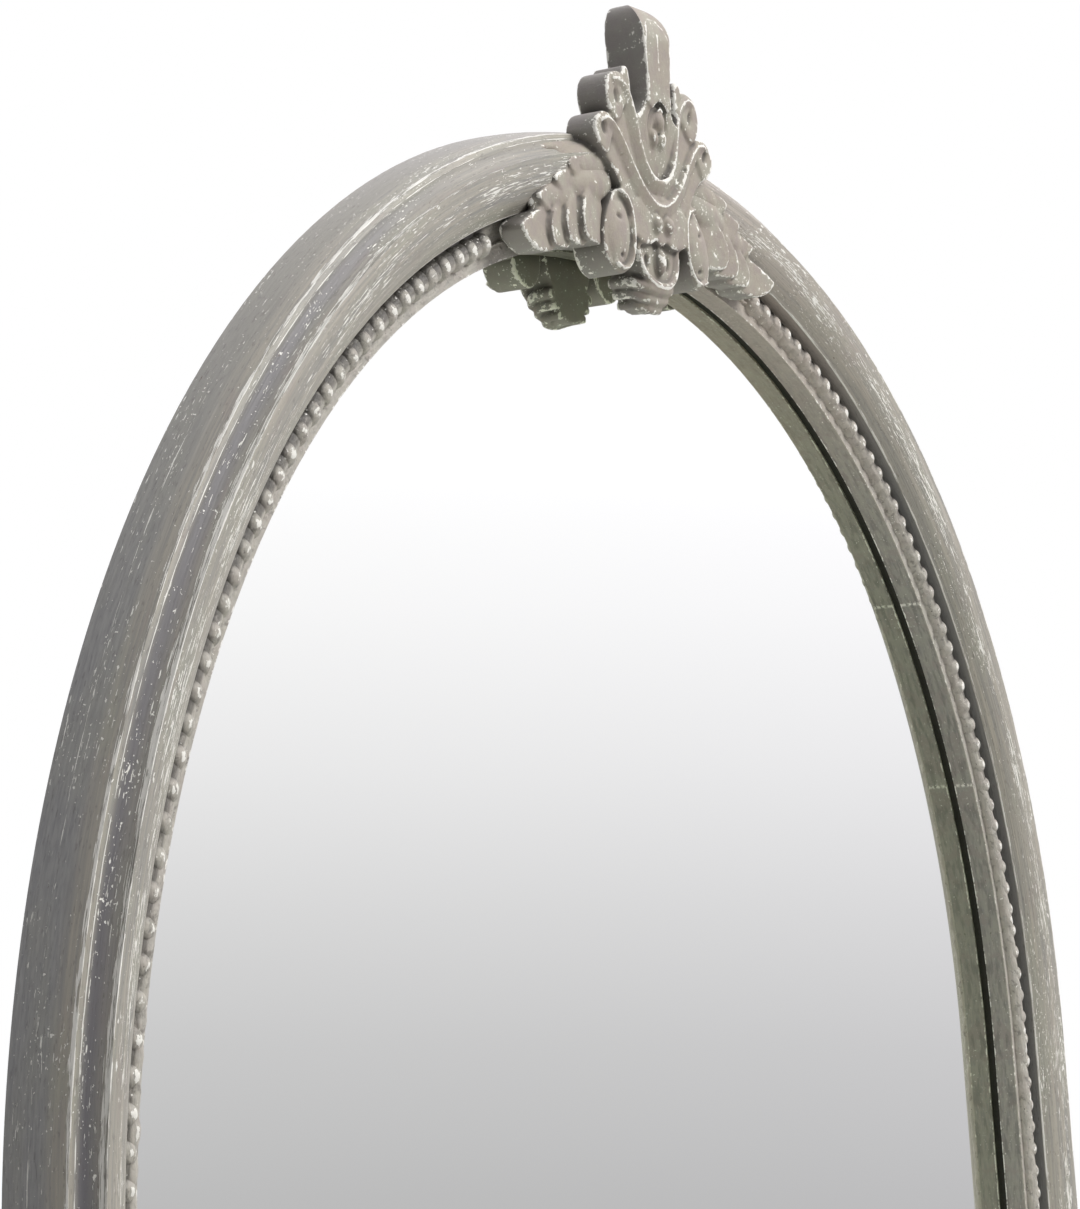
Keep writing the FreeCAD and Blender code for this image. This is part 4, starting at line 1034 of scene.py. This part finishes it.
def carving_paint():
    paint = Finish("worn_grey_carving", Specular_IOR_Level=0.35)
    whole, _ = paint.place()
    bend = paint.node("ShaderNodeAttribute", {"attribute_name": "bend"}, output="Fac")
    rub = paint.node("ShaderNodeAttribute", {"attribute_name": "rub"}, output="Fac")
    facing = paint.node("ShaderNodeTexCoord", output="Normal")
    forward = paint.node("ShaderNodeSeparateXYZ", None, {0: facing}, output="Y") * -1
    chips = paint.noise(whole, 760.0, 6.0, 0.75)
    flecks = paint.noise(whole, 800.0, 2.0, 0.55)
    patches = paint.noise(whole, 75.0, 3.0)
    runs = paint.noise(whole, 130.0, 2.0)
    dapple = paint.noise(whole, 150.0, 6.0, 0.7)
    coat = paint.mix(dapple.rise(0.34, 0.62), ROSE_GREY, CARVED_GREY)
    coat = paint.mix(patches.rise(0.42, 0.65) * 0.7, coat, SAGE_GREY)
    # Painted shade: the sides, which face away from the front, are darkened
    sides = 1 - forward.rise(0.25, 0.7)
    coat = paint.mix(sides * 0.55, coat, SHADED_SIDE_GREY)
    # Hollows are darkened, partly dirt and partly painted shade
    hollow = 1 - bend.rise(0.26, 0.485)
    coat = paint.mix(hollow * 0.85, coat, DUST_AND_SHADE)
    # Painted shade: ambient occlusion darkens the deep corners
    corners = 1 - paint.openness(CARVING_CORNER_REACH).rise(0.35, 0.92)
    coat = paint.mix(corners * (0.45 + dapple * 0.6), coat, DUST_AND_SHADE)
    rubbed = (bend.rise(0.56, 0.78) * 0.34 + chips * 0.62 + patches * 0.42).rise(0.795, 0.82)
    lined = (rub * 0.38 + chips * 0.62 + runs * 0.44).rise(0.835, 0.86)
    flakes = paint.noise(whole, 300.0, 5.0, 0.65)
    flaked = (bend.rise(0.52, 0.66) * 0.12 + flakes + patches * 0.35).rise(0.85, 0.868)
    flecked = (flecks + patches * 0.5).rise(0.955, 0.975)
    coat = paint.mix(rubbed.most(lined).most(flecked).most(flaked), coat, UNDERCOAT)
    paint.feed("Base Color", coat)
    paint.feed("Roughness", 0.68 - dapple * 0.16)
    paint.bump(chips * 0.5 + dapple * 0.5, 0.0009, 0.6)
    return paint


CARVED = {cartouche: "crest_cartouche", spray_left: "leaf_spray_left", spray_right: "leaf_spray_right"}
carving_paint().onto(*CARVED)
for carving, node in CARVED.items():
    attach(carving, "mirror")
    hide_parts(node)
print("carvings painted:", len(CARVED))

# %% [markdown]
# ## Glass, tape and back
# The glass is plain and silvered, with the slight green of float glass. A black line of foam tape
# shows between the frame and its reflection. The back is brown hardboard with zinc-plated fittings.

# %% The other finishes
GLASS_TINT = (0.80, 0.828, 0.735)
GLASS_HAZE = 1.01


def silvered_glass():
    glass = Finish("silvered_glass", Metallic=1.0, Roughness=0.0)
    whole, _ = glass.place()
    haze = glass.noise(whole, 3.0, 2.0)
    glass.feed("Base Color", glass.mix(haze, GLASS_TINT, [tone * GLASS_HAZE for tone in GLASS_TINT]))
    return glass


def speckled(name, roughness, specks_per_metre, dark, pale):
    """A plain finish that is dappled with two close colours."""
    plain = Finish(name, Roughness=roughness)
    whole, _ = plain.place()
    plain.feed("Base Color", plain.mix(plain.noise(whole, specks_per_metre), dark, pale))
    return plain


def hardboard():
    board = Finish("brown_hardboard", Specular_IOR_Level=0.3)
    whole, (x, y, z) = board.place()
    fibres = board.noise(board.vector(x * 700, y * 700, z * 220), 1.0, 5.0, 0.7)
    clouds = board.noise(whole, 6.0, 3.0)
    tone = board.mix(clouds, (0.20, 0.115, 0.062), (0.27, 0.165, 0.092))
    board.feed("Base Color", board.mix(fibres.rise(0.5, 0.75) * 0.5, tone, (0.36, 0.245, 0.15)))
    board.feed("Roughness", 0.8 - fibres * 0.3)
    board.bump(fibres, 0.0003, 0.5)
    return board


def zinc():
    steel = Finish("zinc_plate", Metallic=1.0)
    whole, (x, y, z) = steel.place()
    brushing = steel.noise(steel.vector(x * 2500, y * 2500, z * 120), 1.0, 3.0)
    spangle = steel.noise(whole, 260.0, 2.0)
    steel.feed("Base Color", steel.mix(spangle, (0.50, 0.50, 0.49), (0.66, 0.66, 0.63)))
    steel.feed("Roughness", 0.24 + brushing * 0.22)
    return steel


def beech():
    wood = Finish("plain_beech", Roughness=0.6)
    _, (x, y, z) = wood.place()
    fibres = wood.noise(wood.vector(x * 900, y * 900, z * 200), 1.0, 3.0)
    wood.feed("Base Color", wood.mix(fibres, (0.46, 0.30, 0.16), (0.60, 0.43, 0.26)))
    return wood


foam = speckled("black_foam", 0.9, 900.0, (0.014, 0.014, 0.011), (0.045, 0.044, 0.036))
rubber = speckled("grey_rubber", 0.85, 500.0, (0.03, 0.03, 0.032), (0.06, 0.06, 0.062))
packing = speckled("grey_packer", 0.5, 300.0, (0.10, 0.10, 0.11), (0.13, 0.13, 0.14))
FITTINGS = (
    (silvered_glass(), ["mirror_glass"]),
    (foam, ["glazing_tape"]),
    (hardboard(), ["back_board"]),
    (zinc(), ["board_screws", "hanger_screws", "hanger_strap_left", "hanger_strap_right",
              "hanger_ring_left", "hanger_ring_right"]),
    (rubber, ["wall_bumpers"]),
    (beech(), ["arch_dowels", "mitre_dowels", "crest_dowels"]),
    (packing, ["setting_blocks"]),
)
for finish, names in FITTINGS:
    finish.onto(*[nodes[name] for name in names])
print("other finishes:", len(FITTINGS))

# %% [markdown]
# ## Floor and light
# The mirror stands on a plain pale floor. A disc is enough, because its rim lies outside the picture
# and its colour meets the white of the world behind it.

# %% Floor
FLOOR_RADIUS = 2.6
bpy.ops.mesh.primitive_circle_add(vertices=96, radius=FLOOR_RADIUS, fill_type="NGON",
                                  location=(0, 0, FLOOR_LEVEL))
floor = bpy.context.object
floor.name = "floor"
speckled("pale_floor", 0.9, 2.0, (0.80, 0.80, 0.79), (0.83, 0.83, 0.82)).onto(floor)
print("floor at", FLOOR_LEVEL, "m")

# %% [markdown]
# One large soft lamp in front and above gives the shading of the moulding. A weaker one lights the top
# of the arch, and one behind lights the back of the carving, which the glass reflects. Only the first
# is left visible to glossy rays, or the glass would show all three as bright discs.

# %% Lamps
LAMP_AIM = Vector((0, 0, 0.1))
# Name, place and width in metres, power in watts, and colour
LAMPS = (
    ("key", (1.5, -3.1, 2.9), 2.4, 158.0, (1.0, 0.98, 0.95)),
    ("top", (-0.3, -0.7, 3.6), 1.6, 34.0, (1.0, 1.0, 1.0)),
    ("back_fill", (0.7, 3.2, 1.8), 2.4, 85.0, (1.0, 1.0, 1.0)),
)
for name, spot, width, power, tint in LAMPS:
    bpy.ops.object.light_add(type="AREA", location=spot)
    lamp = bpy.context.object
    lamp.name = name
    lamp.data.shape = "DISK"
    lamp.data.size = width
    lamp.data.energy = power
    lamp.data.color = tint
    lamp.rotation_euler = (LAMP_AIM - Vector(spot)).to_track_quat("-Z", "Y").to_euler()
    lamp.visible_glossy = name == "key"
    lamp.visible_camera = False
print("lamps:", len(LAMPS))

# %% [markdown]
# The glass shows the room opposite it, which fades from white to pale grey towards the floor. A wall
# with that fade could stand there, but it would block the lamps, so the fade is in the world. Light
# Path tells which rays see it: the camera sees white behind the mirror, and the paint a plain grey.

# %% World
ROOM_STOPS = ((0.0, 0.44), (0.2, 0.500), (0.36, 0.58), (0.50, 0.68), (0.66, 0.81), (0.83, 0.925), (0.97, 1.0))
# How the slope of a ray is stretched over the stops
ROOM_GAIN, ROOM_SHIFT = 3.333, 0.8333
AMBIENT = (0.240, 0.236, 0.226)
GLASS_GLOW = (0.95, 0.94, 0.88)
world = bpy.data.worlds.new("studio")
world.use_nodes = True
bpy.context.scene.world = world
room = Tree(world.node_tree)
direction = room.node("ShaderNodeTexCoord", output="Generated")
room_up = (upward.x, -upward.y, upward.z)
slope = room.node("ShaderNodeVectorMath", {"operation": "DOT_PRODUCT"}, {0: direction, 1: room_up},
                  output="Value")
fade = room.node("ShaderNodeValToRGB", {"stops": [(place, (g, g, g)) for place, g in ROOM_STOPS]},
                 {0: slope * ROOM_GAIN + ROOM_SHIFT})
# Gains that undo the glass's own tint, taken halfway through its haze
gains = [2 / (tone + tone * GLASS_HAZE) for tone in GLASS_TINT]
fade = room.node("ShaderNodeMix", {"data_type": "RGBA", "blend_type": "MULTIPLY"},
                 {0: 1.0, 6: fade, 7: (*gains, 1.0)}, output=2)
camera_ray = room.node("ShaderNodeLightPath", output="Is Camera Ray")
glossy_ray = room.node("ShaderNodeLightPath", output="Is Glossy Ray")
diffuse_bounces = room.node("ShaderNodeLightPath", output="Diffuse Depth")
# Only what the camera sees in the glass shows the room. What the glass throws on the paint is dimmer.
sky = room.mix(glossy_ray, AMBIENT, room.mix(diffuse_bounces.least(1.0), fade, GLASS_GLOW))
sky = room.mix(camera_ray, sky, (1.0, 1.0, 1.0))
background = room.nodes["Background"]
room.links.new(sky.socket, background.inputs["Color"])
background.inputs["Strength"].default_value = 1.0
bpy.context.scene.view_settings.view_transform = "Standard"
print("room set")
